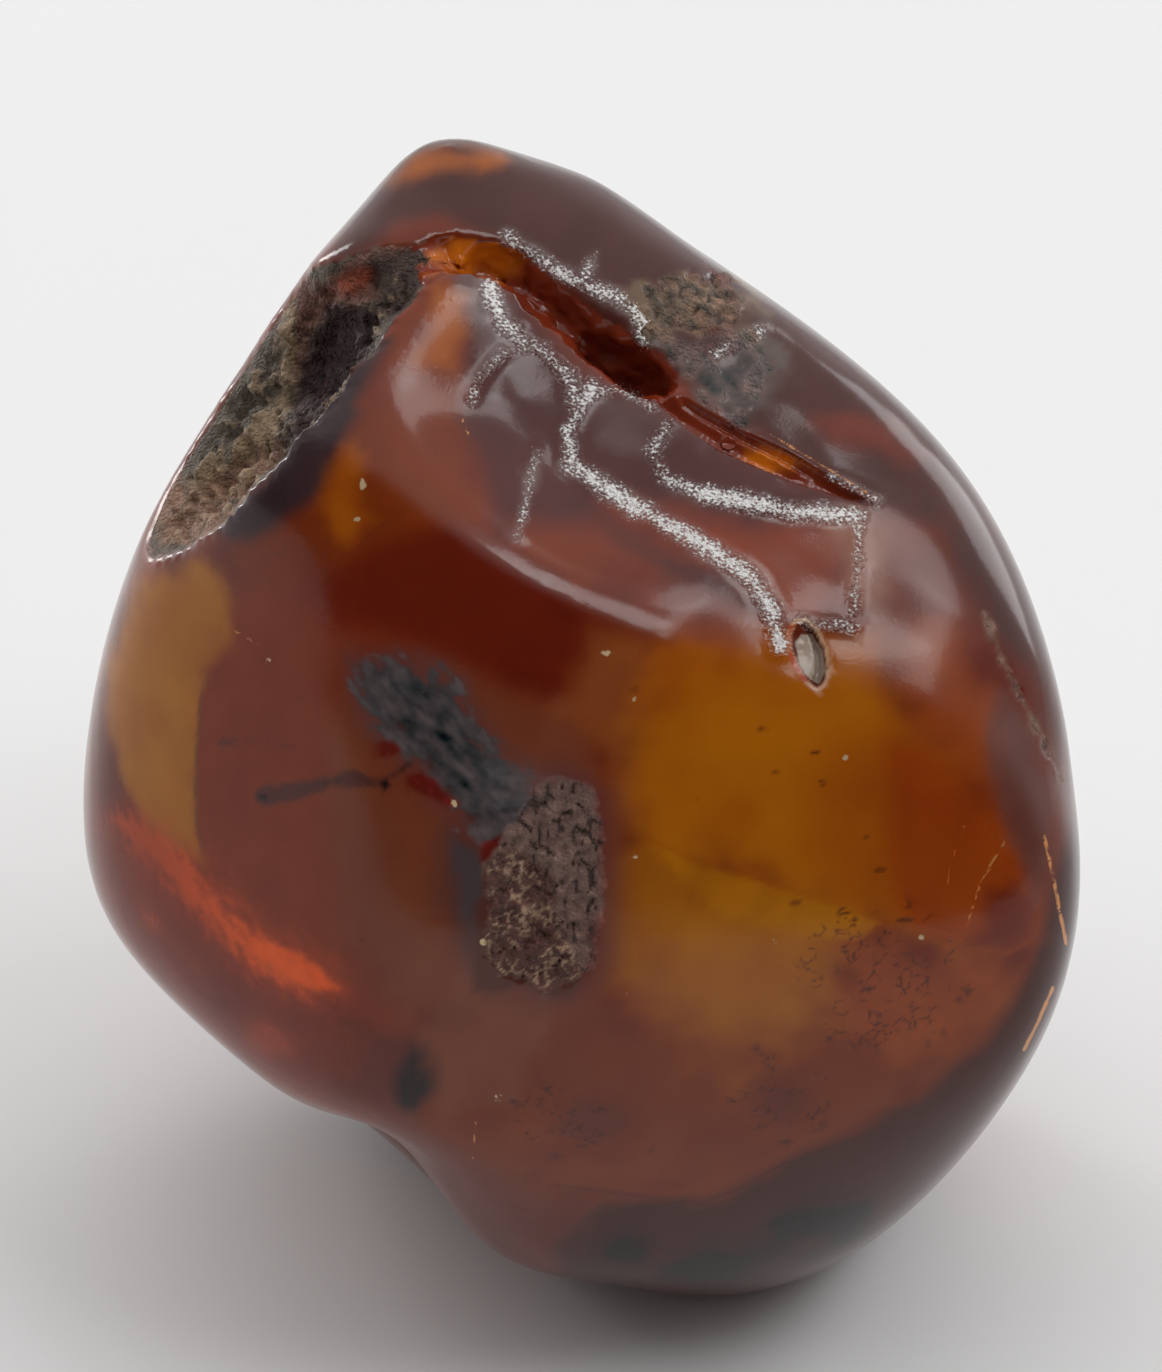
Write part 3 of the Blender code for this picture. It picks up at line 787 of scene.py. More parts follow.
@dataclass(frozen=True)
class Marks:
    """The colours of small marks, and of the painted glint highlight and the painted pit reflection, as linear light.
    """

    # painted highlight: the white specks that stand for glitter reflections on the crazed bands
    glint: Triple = (0.900, 0.880, 0.860)
    fleck: Triple = (0.640, 0.470, 0.270)
    scratch: Triple = (0.620, 0.250, 0.080)
    dark: Triple = (0.020, 0.006, 0.004)
    tan: Triple = (0.420, 0.280, 0.160)
    # painted reflection: the pale grey of the pit's floor
    pit_floor: Triple = (0.380, 0.290, 0.230)


@dataclass(frozen=True)
class ClearAmber:
    """The clear amber: its own tint at the skin, and what it absorbs on the way through."""

    tint: Triple = (1.0, 0.94, 0.84)
    ior: float = 1.54
    rough: float = 0.03
    absorbs: Triple = (0.77, 0.44, 0.01)
    density: float = 175.0


@dataclass(frozen=True)
class Grain:
    """The finish's small noises: their sizes in millimetres, and how far they move colours, edges and relief."""

    size: float = 0.5
    layers: float = 3.0
    crust_fray: float = 0.9
    crust_edge: Pair = (-0.12, 0.12)
    polish: float = 0.06
    speck_size: float = 0.12
    speck_stretch: Triple = (1, 1, 2.2)
    speck_turn: Triple = (0.5, -0.6, 0)
    speck_gain: float = 3.0
    glint_gain: float = 2.0
    glint_edge: Pair = (0.0, 0.95)
    crust_tint: Triple = (2.2, 2.4, 2.6)
    rise_gain: float = 1.6
    rise_edge: Pair = (0.25, 0.55)
    rise_cover: float = 0.5
    groove_edge: Pair = (0.25, 0.85)
    groove_cover: float = 0.65
    sparkle_size: float = 0.17
    crust_relief: float = 0.20
    crust_relief_edge: Pair = (-0.1, 0.2)
    glint_relief: float = 0.16
    glint_relief_edge: Pair = (-0.25, 0.1)
    polish_relief: float = 0.003


# Marks by their own fields: how far the small noise frays each, and how wide its border is, in millimetres.
MARK_EDGES: dict[str, Pair] = {"pit_floor": (0.2, 0.05), "scratch": (0.15, 0.03), "fleck": (0.5, 0.04)}


@dataclass
class AmberFinish:
    """The nugget's one material: cloudy, clear and crusty amber, mixed by the piece's own fields."""

    marks: Marks = field(default_factory=Marks)
    clear: ClearAmber = field(default_factory=ClearAmber)
    grain: Grain = field(default_factory=Grain)
    polish: float = 0.15
    bark_rough: float = 0.60
    shine: float = 0.30
    fine: Num | None = field(default=None, init=False)

    def build(self) -> bpy.types.Material:
        """Makes the material."""
        material = bpy.data.materials.new("amber_polished")
        nodes = Nodes(material)
        self.fine = nodes.noise(self.grain.size, self.grain.layers)
        crust_mask = (nodes.field("crusty") + self.fine * self.grain.crust_fray).step(*self.grain.crust_edge)
        normal = self.relief(nodes)
        polished = {"IOR": self.clear.ior, "Specular IOR Level": self.shine, "Normal": normal}
        cloudy = {"Base Color": self.amber_colour(nodes), "Roughness": self.polish + self.fine * self.grain.polish}
        clear = {"Base Color": self.clear.tint, "Roughness": self.clear.rough, "Transmission Weight": 1.0}
        crust = {"Base Color": self.crust_colour(nodes), "Roughness": self.bark_rough, "Normal": normal}
        cloudy, clear, crust = (
            nodes.add("ShaderNodeBsdfPrincipled", {}, values, "BSDF")
            for values in (cloudy | polished, clear | polished, crust)
        )
        amber = nodes.add("ShaderNodeMixShader", {}, {0: nodes.field("clarity"), 1: cloudy, 2: clear}, 0)
        whole = nodes.add("ShaderNodeMixShader", {}, {0: crust_mask, 1: amber, 2: crust})
        absorbing = {"Color": self.clear.absorbs, "Density": self.clear.density}
        inside = nodes.add("ShaderNodeVolumeAbsorption", {}, absorbing)
        nodes.add("ShaderNodeOutputMaterial", {}, {"Surface": whole, "Volume": inside})
        return material

    def amber_colour(self, nodes: Nodes) -> Num:
        """The cloudy amber's colour: the washes, with painted glint highlights and small marks on them."""
        grain = self.grain
        specks = nodes.noise(grain.speck_size, 1.0, grain.speck_stretch, grain.speck_turn)
        # painted highlight: white specks, densest in the middle of the glint bands
        band = (nodes.field("glint") * grain.glint_gain + specks * grain.speck_gain).step(*grain.glint_edge)
        colour = nodes.mix(band, nodes.field("tone", "Color"), self.marks.glint)
        for name, (fray, edge) in MARK_EDGES.items():
            mark = (nodes.field(name) + self.fine * fray).step(-edge, edge)
            colour = nodes.mix(mark, colour, getattr(self.marks, name))
        return colour

    def crust_colour(self, nodes: Nodes) -> Num:
        """The crust's colour: the washes' bark tone, dark in its grooves and pits, tan on what stands out."""
        grain = self.grain
        shades = {channel: self.fine * gain + 1 for channel, gain in enumerate(grain.crust_tint)}
        shade = nodes.add("ShaderNodeCombineColor", {}, shades)
        colour = nodes.mix(1.0, nodes.field("tone", "Color"), shade, "MULTIPLY")
        raised = (nodes.field("rise") + self.fine * grain.rise_gain).step(*grain.rise_edge)
        colour = nodes.mix(raised * grain.rise_cover, colour, self.marks.tan)
        return nodes.mix(nodes.field("groove").step(*grain.groove_edge) * grain.groove_cover, colour, self.marks.dark)

    def relief(self, nodes: Nodes) -> Num:
        """The fine relief: a faint unevenness in the polish, glints on the crazed bands, and grain on the crust."""
        grain = self.grain
        rough = (
            nodes.field("crusty").step(*grain.crust_relief_edge) * grain.crust_relief
            + nodes.field("glint").step(*grain.glint_relief_edge) * grain.glint_relief
        )
        height = nodes.noise(grain.sparkle_size) * (rough + grain.polish_relief)
        return nodes.add("ShaderNodeBump", {}, {"Height": height, "Strength": 1.0, "Distance": MM}, "Normal")


def only(piece: bpy.types.Object) -> None:
    """Deselects everything and makes this piece the selected and active one."""
    bpy.ops.object.select_all(action="DESELECT")
    piece.select_set(True)
    bpy.context.view_layer.objects.active = piece


def finish(piece: bpy.types.Object, kind: str, **settings: object) -> None:
    """Puts a modifier on the piece and applies it.

    Args:
        piece: the mesh.
        kind: the modifier's type.
        settings: its settings.
    """
    modifier = piece.modifiers.new(kind.title(), kind)
    for key, value in settings.items():
        setattr(modifier, key, value)
    only(piece)
    bpy.ops.object.modifier_apply(modifier=modifier.name)


def smooth_step(values: np.ndarray, low: float, high: float) -> np.ndarray:
    """0 below low, 1 above high, and smooth between them."""
    share = np.clip((values - low) / (high - low), 0, 1)
    return share * share * (3 - 2 * share)


def over(under: np.ndarray, colour: Triple | np.ndarray, share: np.ndarray) -> np.ndarray:
    """A colour laid over others, by each point's share of it from 0 to 1."""
    return under * (1 - share[:, None]) + np.array(colour) * share[:, None]


class Cloud(Enum):
    """The skin's noises.

    The first number is how far apart a noise's lumps are, in millimetres, and the second how many layers it has,
    each twice as fine. The others are how many times longer its lumps are along their lean, and the angle of that
    lean from the picture's upright, clockwise, in degrees.
    """

    WIDE = (9.0, 3, 1.0, 0.0)
    SWELL = (3.2, 2, 1.0, 0.0)
    DRIFT = (2.6, 3, 1.0, 0.0)
    LUMPS = (1.8, 2, 1.0, 0.0)
    STRAY = (1.0, 2, 1.0, 0.0)
    GAPS = (0.9, 2, 1.0, 0.0)
    GRAIN = (0.55, 3, 1.0, 0.0)
    FIBRE = (0.4, 3, 2.2, 135.0)
    STREAKS = (0.35, 2, 7.0, 128.0)


@dataclass
class Skin:
    """Where a fine mesh's points are, and the noise and fields that are laid on them.

    A patch's field is told as far as reach outside it. It falls off where the skin turns away from the camera, from
    turned_from on and by turned_loss, but not below lowest. All but turned_from are in millimetres.
    """

    piece: bpy.types.Object
    view: PhotoView
    reach: float = 6.0
    turned_from: float = 0.06
    turned_loss: float = 12.0
    lowest: float = -8.0
    places: np.ndarray = field(init=False)
    facing: np.ndarray = field(init=False)
    pixels: np.ndarray = field(init=False)
    chart: np.ndarray = field(init=False)

    def __post_init__(self) -> None:
        """Reads the points and their normals."""
        count = len(self.piece.data.vertices)
        places, normals = np.empty(count * 3), np.empty(count * 3)
        self.piece.data.vertices.foreach_get("co", places)
        self.piece.data.vertices.foreach_get("normal", normals)
        self.places = places.reshape(-1, 3)
        self.facing = self.view.facing(self.places, normals.reshape(-1, 3))
        self.pixels = self.view.pixels(self.places)
        across = (1, 0, 0)
        self.chart = self.places @ np.array([across, self.view.up(), self.view.back()]).T / MM

    def cloud(self, cloud: Cloud) -> np.ndarray:
        """Noise about 0, from about -0.7 to 0.7."""
        size, layers, stretch, lean = cloud.value
        turn = np.array(Matrix.Rotation(math.radians(lean), 3, "Z"))
        chart = self.chart @ turn.T / size / (1, stretch, 1)
        return np.array([noise.fractal(place, 1.0, 2.0, layers) for place in chart.tolist()])

    def cells(self, size: float, stretch: float, where: np.ndarray) -> np.ndarray:
        """How near each point is to a border between cells, from 0 on it; 1 where it isn't asked for.

        Args:
            size: how far apart the cells are, in millimetres.
            stretch: how many times taller they are in the picture.
            where: which points are asked for.

        Returns:
            One number a point.
        """
        gaps = np.ones(len(self.chart))
        for index in np.nonzero(where)[0]:
            place = self.chart[index] / size / (1, stretch, 1)
            near = noise.voronoi(place.tolist())[0]
            gaps[index] = near[1] - near[0]
        return gaps

    def patch(self, name: str) -> np.ndarray:
        """How far inside a patch each point is, in millimetres, on the side that the photograph shows."""
        reach = self.reach * self.view.px_per_mm
        depth = np.max([patch.depth_inside(self.pixels, reach) for patch in PATCHES[name]], axis=0)
        turned = np.clip(self.turned_from - self.facing, 0, None) * self.turned_loss
        inside = np.clip(depth / self.view.px_per_mm, -self.reach, self.reach)
        return np.clip(inside - turned, self.lowest, self.reach)

    def places_near(self, name: str) -> np.ndarray:
        """How far inside one of the back's places each point is, in millimetres, and below 0 outside."""
        points = self.places / MM
        return np.max([place[3] - np.linalg.norm(points - place[:3], axis=1) for place in BACK_PLACES[name]], axis=0)

    def write(self, name: str, values: np.ndarray) -> None:
        """Writes a number or a colour a point as an attribute."""
        if values.ndim == 1:
            attribute = self.piece.data.attributes.new(name, "FLOAT", "POINT")
            attribute.data.foreach_set("value", values.astype(np.float32))
            return
        attribute = self.piece.data.attributes.new(name, "FLOAT_COLOR", "POINT")
        rows = np.concatenate([values, np.ones((len(values), 1))], axis=1)
        attribute.data.foreach_set("color", rows.astype(np.float32).ravel())

    def group(self, name: str, weights: np.ndarray) -> None:
        """Makes a vertex group of these weights, where they count."""
        group = self.piece.vertex_groups.new(name=name)
        for index in np.nonzero(weights > LEAST)[0].tolist():
            group.add([index], min(float(weights[index]), 1.0), "REPLACE")


@dataclass
class Cuts:
    """The fissure, the hollow and the pit: where their lips are, and which faces of the solid lie in each.

    A lip is an edge sharper than sharp. The foot's own edge is under lip_foot, and what is off the skin under
    skin_foot is the foot. The hollow is left of bark_side and the pit before pit_side. lip_step is how far apart the
    points along a lip are. All but sharp are in millimetres.
    """

    solid: bpy.types.Object
    sharp: float = math.radians(30)
    lip_step: float = 0.25
    lip_foot: float = 1.0
    skin_foot: float = 0.5
    bark_side: float = -6.8
    pit_side: float = -9.0
    lips: list[Vector] = field(default_factory=list, init=False)
    kinds: list[str] = field(default_factory=list, init=False)
    tree: BVHTree | None = field(default=None, init=False)

    def __post_init__(self) -> None:
        """Walks over the skin from its rearmost face, as far as the sharp lips."""
        mesh = bmesh.new()
        mesh.from_mesh(self.solid.data)
        mesh.faces.ensure_lookup_table()
        edges = [edge for edge in mesh.edges if len(edge.link_faces) == 2 and edge.calc_face_angle() > self.sharp]
        sharp = set(edges)
        reached = [max(mesh.faces, key=lambda face: face.calc_center_median().y)]
        skin = {reached[0].index}
        while reached:
            for edge in reached.pop().edges:
                for other in [] if edge in sharp else edge.link_faces:
                    if other.index not in skin:
                        skin.add(other.index)
                        reached.append(other)
        self.kinds = ["skin" if face.index in skin else self.kind_at(face) for face in mesh.faces]
        for edge in edges:
            first, last = edge.verts[0].co, edge.verts[1].co
            kinds = {self.kinds[face.index] for face in edge.link_faces}
            if len(kinds) > 1 and min(first.z, last.z) > self.lip_foot * MM:
                parts = max(1, int((last - first).length / (self.lip_step * MM)))
                self.lips += [first.lerp(last, step / parts) for step in range(parts + 1)]
        self.tree = BVHTree.FromBMesh(mesh)
        mesh.free()
        LOG.info("cuts: %s", {kind: self.kinds.count(kind) for kind in sorted(set(self.kinds))})

    def kind_at(self, face: bmesh.types.BMFace) -> str:
        """The kind of cut that a face off the skin lies in."""
        place = face.calc_center_median() / MM
        if place.z < self.skin_foot:
            return "skin"
        if place.x < self.bark_side:
            return "bark"
        return "pit" if place.y < self.pit_side else "fissure"

    def depths(self, skin: Skin) -> dict[str, np.ndarray]:
        """How far each point is inside each cut from its lip, in millimetres, and below 0 outside."""
        lips = KDTree(len(self.lips))
        for index, point in enumerate(self.lips):
            lips.insert(point, index)
        lips.balance()
        gap = np.array([lips.find(place)[2] for place in skin.places.tolist()]) / MM
        kinds = np.array([self.kinds[self.tree.find_nearest(place)[2]] for place in skin.places.tolist()])
        depths = {kind: np.where(kinds == kind, gap, -gap) for kind in ("bark", "fissure", "pit")}
        depths["lip"] = gap
        return depths


@dataclass(frozen=True)
class Relief:
    """How the skin is raised and sunk.

    An edge is where a form starts and where it has its whole height, in millimetres inside its patch or its lip.
    Each other number is how far a noise at its full swing raises the form, or how deep the form is sunk.
    """

    bark_edge: Pair = (0.35, 1.6)
    bark_lumps: float = 0.7
    bark_grain: float = 0.45
    ridge_edge: Pair = (-0.5, 0.3)
    pocket_edge: Pair = (-0.2, 0.8)
    bark_ridge: float = 0.55
    wall_edge: Pair = (0.0, 0.8)
    wall_lumps: float = 0.5
    wall_grain: float = 0.12
    crust_edge: Pair = (-0.1, 0.3)
    crust_grain: float = 0.16
    crust_grooves: float = 0.16
    back_edge: Pair = (-0.2, 0.5)
    back_fray: float = 2.0
    back_grain: float = 0.30
    back_lumps: float = 0.12
    back_sunk: float = 0.14
    slate_edge: Pair = (-0.1, 0.3)
    slate_fibre: float = 0.015
    seam_edge: Pair = (-0.05, 0.25)
    seam_sunk: float = 0.55
    bowl_edge: Pair = (0.0, 0.30)
    pit_edge: Pair = (-0.3, 0.1)
    bowl_sunk: float = 0.55
    shelf_edge: Pair = (-0.5, 1.5)
    shelf_swell: float = 0.06
    glint_edge: Pair = (-0.5, 0.1)
    glint_raised: float = 0.05
    groove_cells: float = 0.52
    groove_tall: float = 3.4
    groove_reach: float = 0.6
    groove_edge: Pair = (0.02, 0.16)
    groove_gaps: Pair = (-0.25, 0.10)


@dataclass
class NuggetSkin:
    """The nugget as it is seen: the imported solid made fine, relaxed and embossed. Sizes are in millimetres."""

    node: bpy.types.Object
    view: PhotoView
    relief: Relief = field(default_factory=Relief)
    grain: float = 0.5
    lip_guard: float = 1.1
    lip_relax: float = 0.14
    rim_near: float = 1.5
    rim_relax: float = 0.6
    relax_share: float = 0.5
    relax_steps: int = 26
    near_patch: float = 0.35
    near_bark: float = 0.5
    near_cut: float = 0.3
    cuts: Cuts | None = field(default=None, init=False)

    def build(self) -> bpy.types.Object:
        """Makes the piece.

        Returns:
            The finished mesh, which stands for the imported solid.
        """
        piece = self.copied()
        self.cuts = Cuts(piece)
        finish(piece, "REMESH", mode="VOXEL", voxel_size=self.grain * MM, use_smooth_shade=True)
        skin = Skin(piece, self.view)
        depths = self.cuts.depths(skin)
        relax = np.where(abs(depths["bark"]) < self.rim_near, self.rim_relax, self.lip_relax)
        skin.group("relax", np.clip(depths["lip"] / self.lip_guard, relax, 1))
        finish(piece, "SMOOTH", factor=self.relax_share, iterations=self.relax_steps, vertex_group="relax")
        piece.vertex_groups.clear()
        self.refine(piece, FINER, cuts=True)
        self.refine(piece, FINEST, cuts=False)
        LOG.info("skin: %d triangles", sum(len(face.vertices) - 2 for face in piece.data.polygons))
        rise, grooves = self.emboss(piece)
        skin = Skin(piece, self.view)
        SkinPaint(skin, self.cuts.depths(skin)).lay(rise, grooves)
        return piece

    def copied(self) -> bpy.types.Object:
        """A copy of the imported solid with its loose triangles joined."""
        piece = self.node.copy()
        piece.data = self.node.data.copy()
        piece.name = "amber_nugget"
        piece.parent = None
        piece.matrix_world = self.node.matrix_world.copy()
        bpy.context.collection.objects.link(piece)
        only(piece)
        bpy.ops.object.transform_apply(location=True, rotation=True, scale=True)
        bpy.ops.object.mode_set(mode="EDIT")
        bpy.ops.mesh.select_all(action="SELECT")
        bpy.ops.mesh.remove_doubles(threshold=WELD)
        bpy.ops.mesh.normals_make_consistent(inside=False)
        bpy.ops.object.mode_set(mode="OBJECT")
        return piece

    def refine(self, piece: bpy.types.Object, names: tuple[str, ...], cuts: bool) -> None:
        """Halves the faces' edges where bark, a glint or a small mark needs it.

        Args:
            piece: the mesh.
            names: the patches whose faces are halved.
            cuts: whether the faces inside the cuts are too.
        """
        skin = Skin(piece, self.view)
        nearest = np.max([skin.patch(name) for name in names] + [skin.places_near("back_crackle")], axis=0)
        wanted = nearest > -self.near_patch
        if cuts:
            depths = self.cuts.depths(skin)
            wanted |= skin.places_near("back_bark") + skin.cloud(Cloud.WIDE) * self.relief.back_fray > -self.near_bark
            wanted |= np.max([depths["bark"], depths["fissure"], depths["pit"]], axis=0) > -self.near_cut
        faces = [any(wanted[index] for index in face.vertices) for face in piece.data.polygons]
        only(piece)
        bpy.context.tool_settings.mesh_select_mode = (False, False, True)
        bpy.ops.object.mode_set(mode="EDIT")
        bpy.ops.mesh.select_all(action="DESELECT")
        bpy.ops.object.mode_set(mode="OBJECT")
        piece.data.polygons.foreach_set("select", faces)
        bpy.ops.object.mode_set(mode="EDIT")
        bpy.ops.mesh.subdivide(number_cuts=1, smoothness=0)
        bpy.ops.object.mode_set(mode="OBJECT")
        piece.data.polygons.foreach_set("use_smooth", [True] * len(piece.data.polygons))

    def emboss(self, piece: bpy.types.Object) -> tuple[np.ndarray, np.ndarray]:
        """Raises and sinks the skin: lumps and the ridge in the hollow, the fissure's walls, bark and its grooves.

        Args:
            piece: the mesh.

        Returns:
            How far each point is raised, in millimetres, and how much of a groove it is in, from 0 to 1.
        """
        skin, relief = Skin(piece, self.view), self.relief
        depths = self.cuts.depths(skin)
        bark = smooth_step(depths["bark"], *relief.bark_edge)
        walls = smooth_step(depths["fissure"], *relief.wall_edge)
        crust = np.max([skin.patch(name) for name in ("crust", "brow", "side_crust")], axis=0)
        crusted = smooth_step(crust, *relief.crust_edge) * (1 - bark)
        lumps, grain = skin.cloud(Cloud.LUMPS), skin.cloud(Cloud.GRAIN)
        grooves = self.groove_lines(skin, crust)
        ridge = smooth_step(skin.patch("ridge"), *relief.ridge_edge)
        ridge = ridge - smooth_step(skin.patch("pocket"), *relief.pocket_edge)
        heights = bark * (lumps * relief.bark_lumps + grain * relief.bark_grain + ridge * relief.bark_ridge)
        heights += walls * (lumps * relief.wall_lumps + grain * relief.wall_grain)
        heights += crusted * (grain * relief.crust_grain - grooves * relief.crust_grooves)
        behind = skin.places_near("back_bark") + skin.cloud(Cloud.WIDE) * relief.back_fray
        behind = smooth_step(behind, *relief.back_edge)
        heights += behind * (grain * relief.back_grain + lumps * relief.back_lumps - relief.back_sunk)
        slate = smooth_step(skin.patch("slate"), *relief.slate_edge)
        heights += slate * (1 - crusted) * skin.cloud(Cloud.FIBRE) * relief.slate_fibre
        heights -= smooth_step(skin.patch("seam"), *relief.seam_edge) * (1 - walls) * relief.seam_sunk
        beside = 1 - smooth_step(depths["pit"], *relief.pit_edge)
        heights -= smooth_step(skin.patch("bowl"), *relief.bowl_edge) * beside * relief.bowl_sunk
        shelf = smooth_step(np.maximum(skin.patch("shelf"), skin.patch("crown")), *relief.shelf_edge)
        heights += shelf * (1 - bark) * (1 - walls) * skin.cloud(Cloud.SWELL) * relief.shelf_swell
        heights += smooth_step(skin.patch("glint"), *relief.glint_edge) * (1 - walls) * relief.glint_raised
        for name, part, sign in (("raised", np.maximum(heights, 0), 1), ("sunk", np.maximum(-heights, 0), -1)):
            most = max(float(part.max()), LEAST)
            skin.group(name, part / most)
            finish(piece, "DISPLACE", vertex_group=name, strength=sign * most * MM, mid_level=0.0)
        piece.vertex_groups.clear()
        return heights, grooves

    def groove_lines(self, skin: Skin, crust: np.ndarray) -> np.ndarray:
        """The short upright grooves in the crust, from 0 to 1."""
        relief = self.relief
        gaps = skin.cells(relief.groove_cells, relief.groove_tall, crust > -relief.groove_reach)
        broken = smooth_step(skin.cloud(Cloud.GAPS), *relief.groove_gaps)
        return (1 - smooth_step(gaps, *relief.groove_edge)) * broken


@dataclass(frozen=True)
class Brush:
    """How the paint is laid.

    An edge is where a thing starts and where it is whole, in millimetres inside its patch or its lip. A fray is how
    far a noise at its full swing moves an edge, and a tint how much it changes each colour. Sizes are in millimetres.
    """

    halo: Pair = (0.8, 0.5)
    slate_fray: Pair = (0.9, 0.3)
    # where the painted highlight on the hollow's near lip lies: its middle and half width across the lip
    lip_line: Pair = (0.15, 0.20)
    back_fray: float = 0.5
    drift_share: float = 0.35
    shade_drift: float = 0.3
    shade_edge: Pair = (-0.5, 0.5)
    drift_tint: Triple = (0.12, 0.22, 0.22)
    mottle_edge: Pair = (-0.1, 0.2)
    mottle_stray: float = 0.6
    mottle_tint: Triple = (0.95, 0.75, 0.72)
    ember_fray: float = 0.6
    ember_edges: tuple[Pair, Pair] = ((-1.6, 0.3), (-0.4, 0.6))
    ember_dimmed: Pair = (0.3, 0.55)
    ember_lit_px: Pair = (130, 290)
    tip_fray: float = 0.2
    tip_edge: Pair = (-0.2, 0.2)
    tip_cover: float = 0.7
    net_cells: float = 0.62
    net_reach: float = 1.0
    net_line: Pair = (0.0, 0.11)
    net_gain: Pair = (0.15, 1.5)
    net_edge: Pair = (-0.1, 0.6)
    net_cover: float = 0.8
    low_edge: Pair = (-0.3, 0.3)
    web_cells: Pair = (0.45, 1.4)
    web_reach: float = 0.5
    web_line: Pair = (0.04, 0.18)
    web_edge: Pair = (0.0, 0.2)
    web_gaps: Pair = (-0.35, 0.05)
    glow_fray: float = 0.8
    glow_edge: Pair = (-0.7, 0.7)
    fissure_edge: Pair = (0.0, 0.35)
    pit_edge: Pair = (-0.05, 0.15)
    bowl_edge: Pair = (0.0, 0.1)
    pit_gain: float = 2.0
    bark_edge: Pair = (0.25, 0.5)
    brow_back: float = 0.1
    hollow_crust: Pair = (6.0, 2.4)
    back_crust: float = 2.0
    grey_crust: Pair = (1.2, 0.05)
    low_grooves: float = 0.8
    darkest: float = 0.001


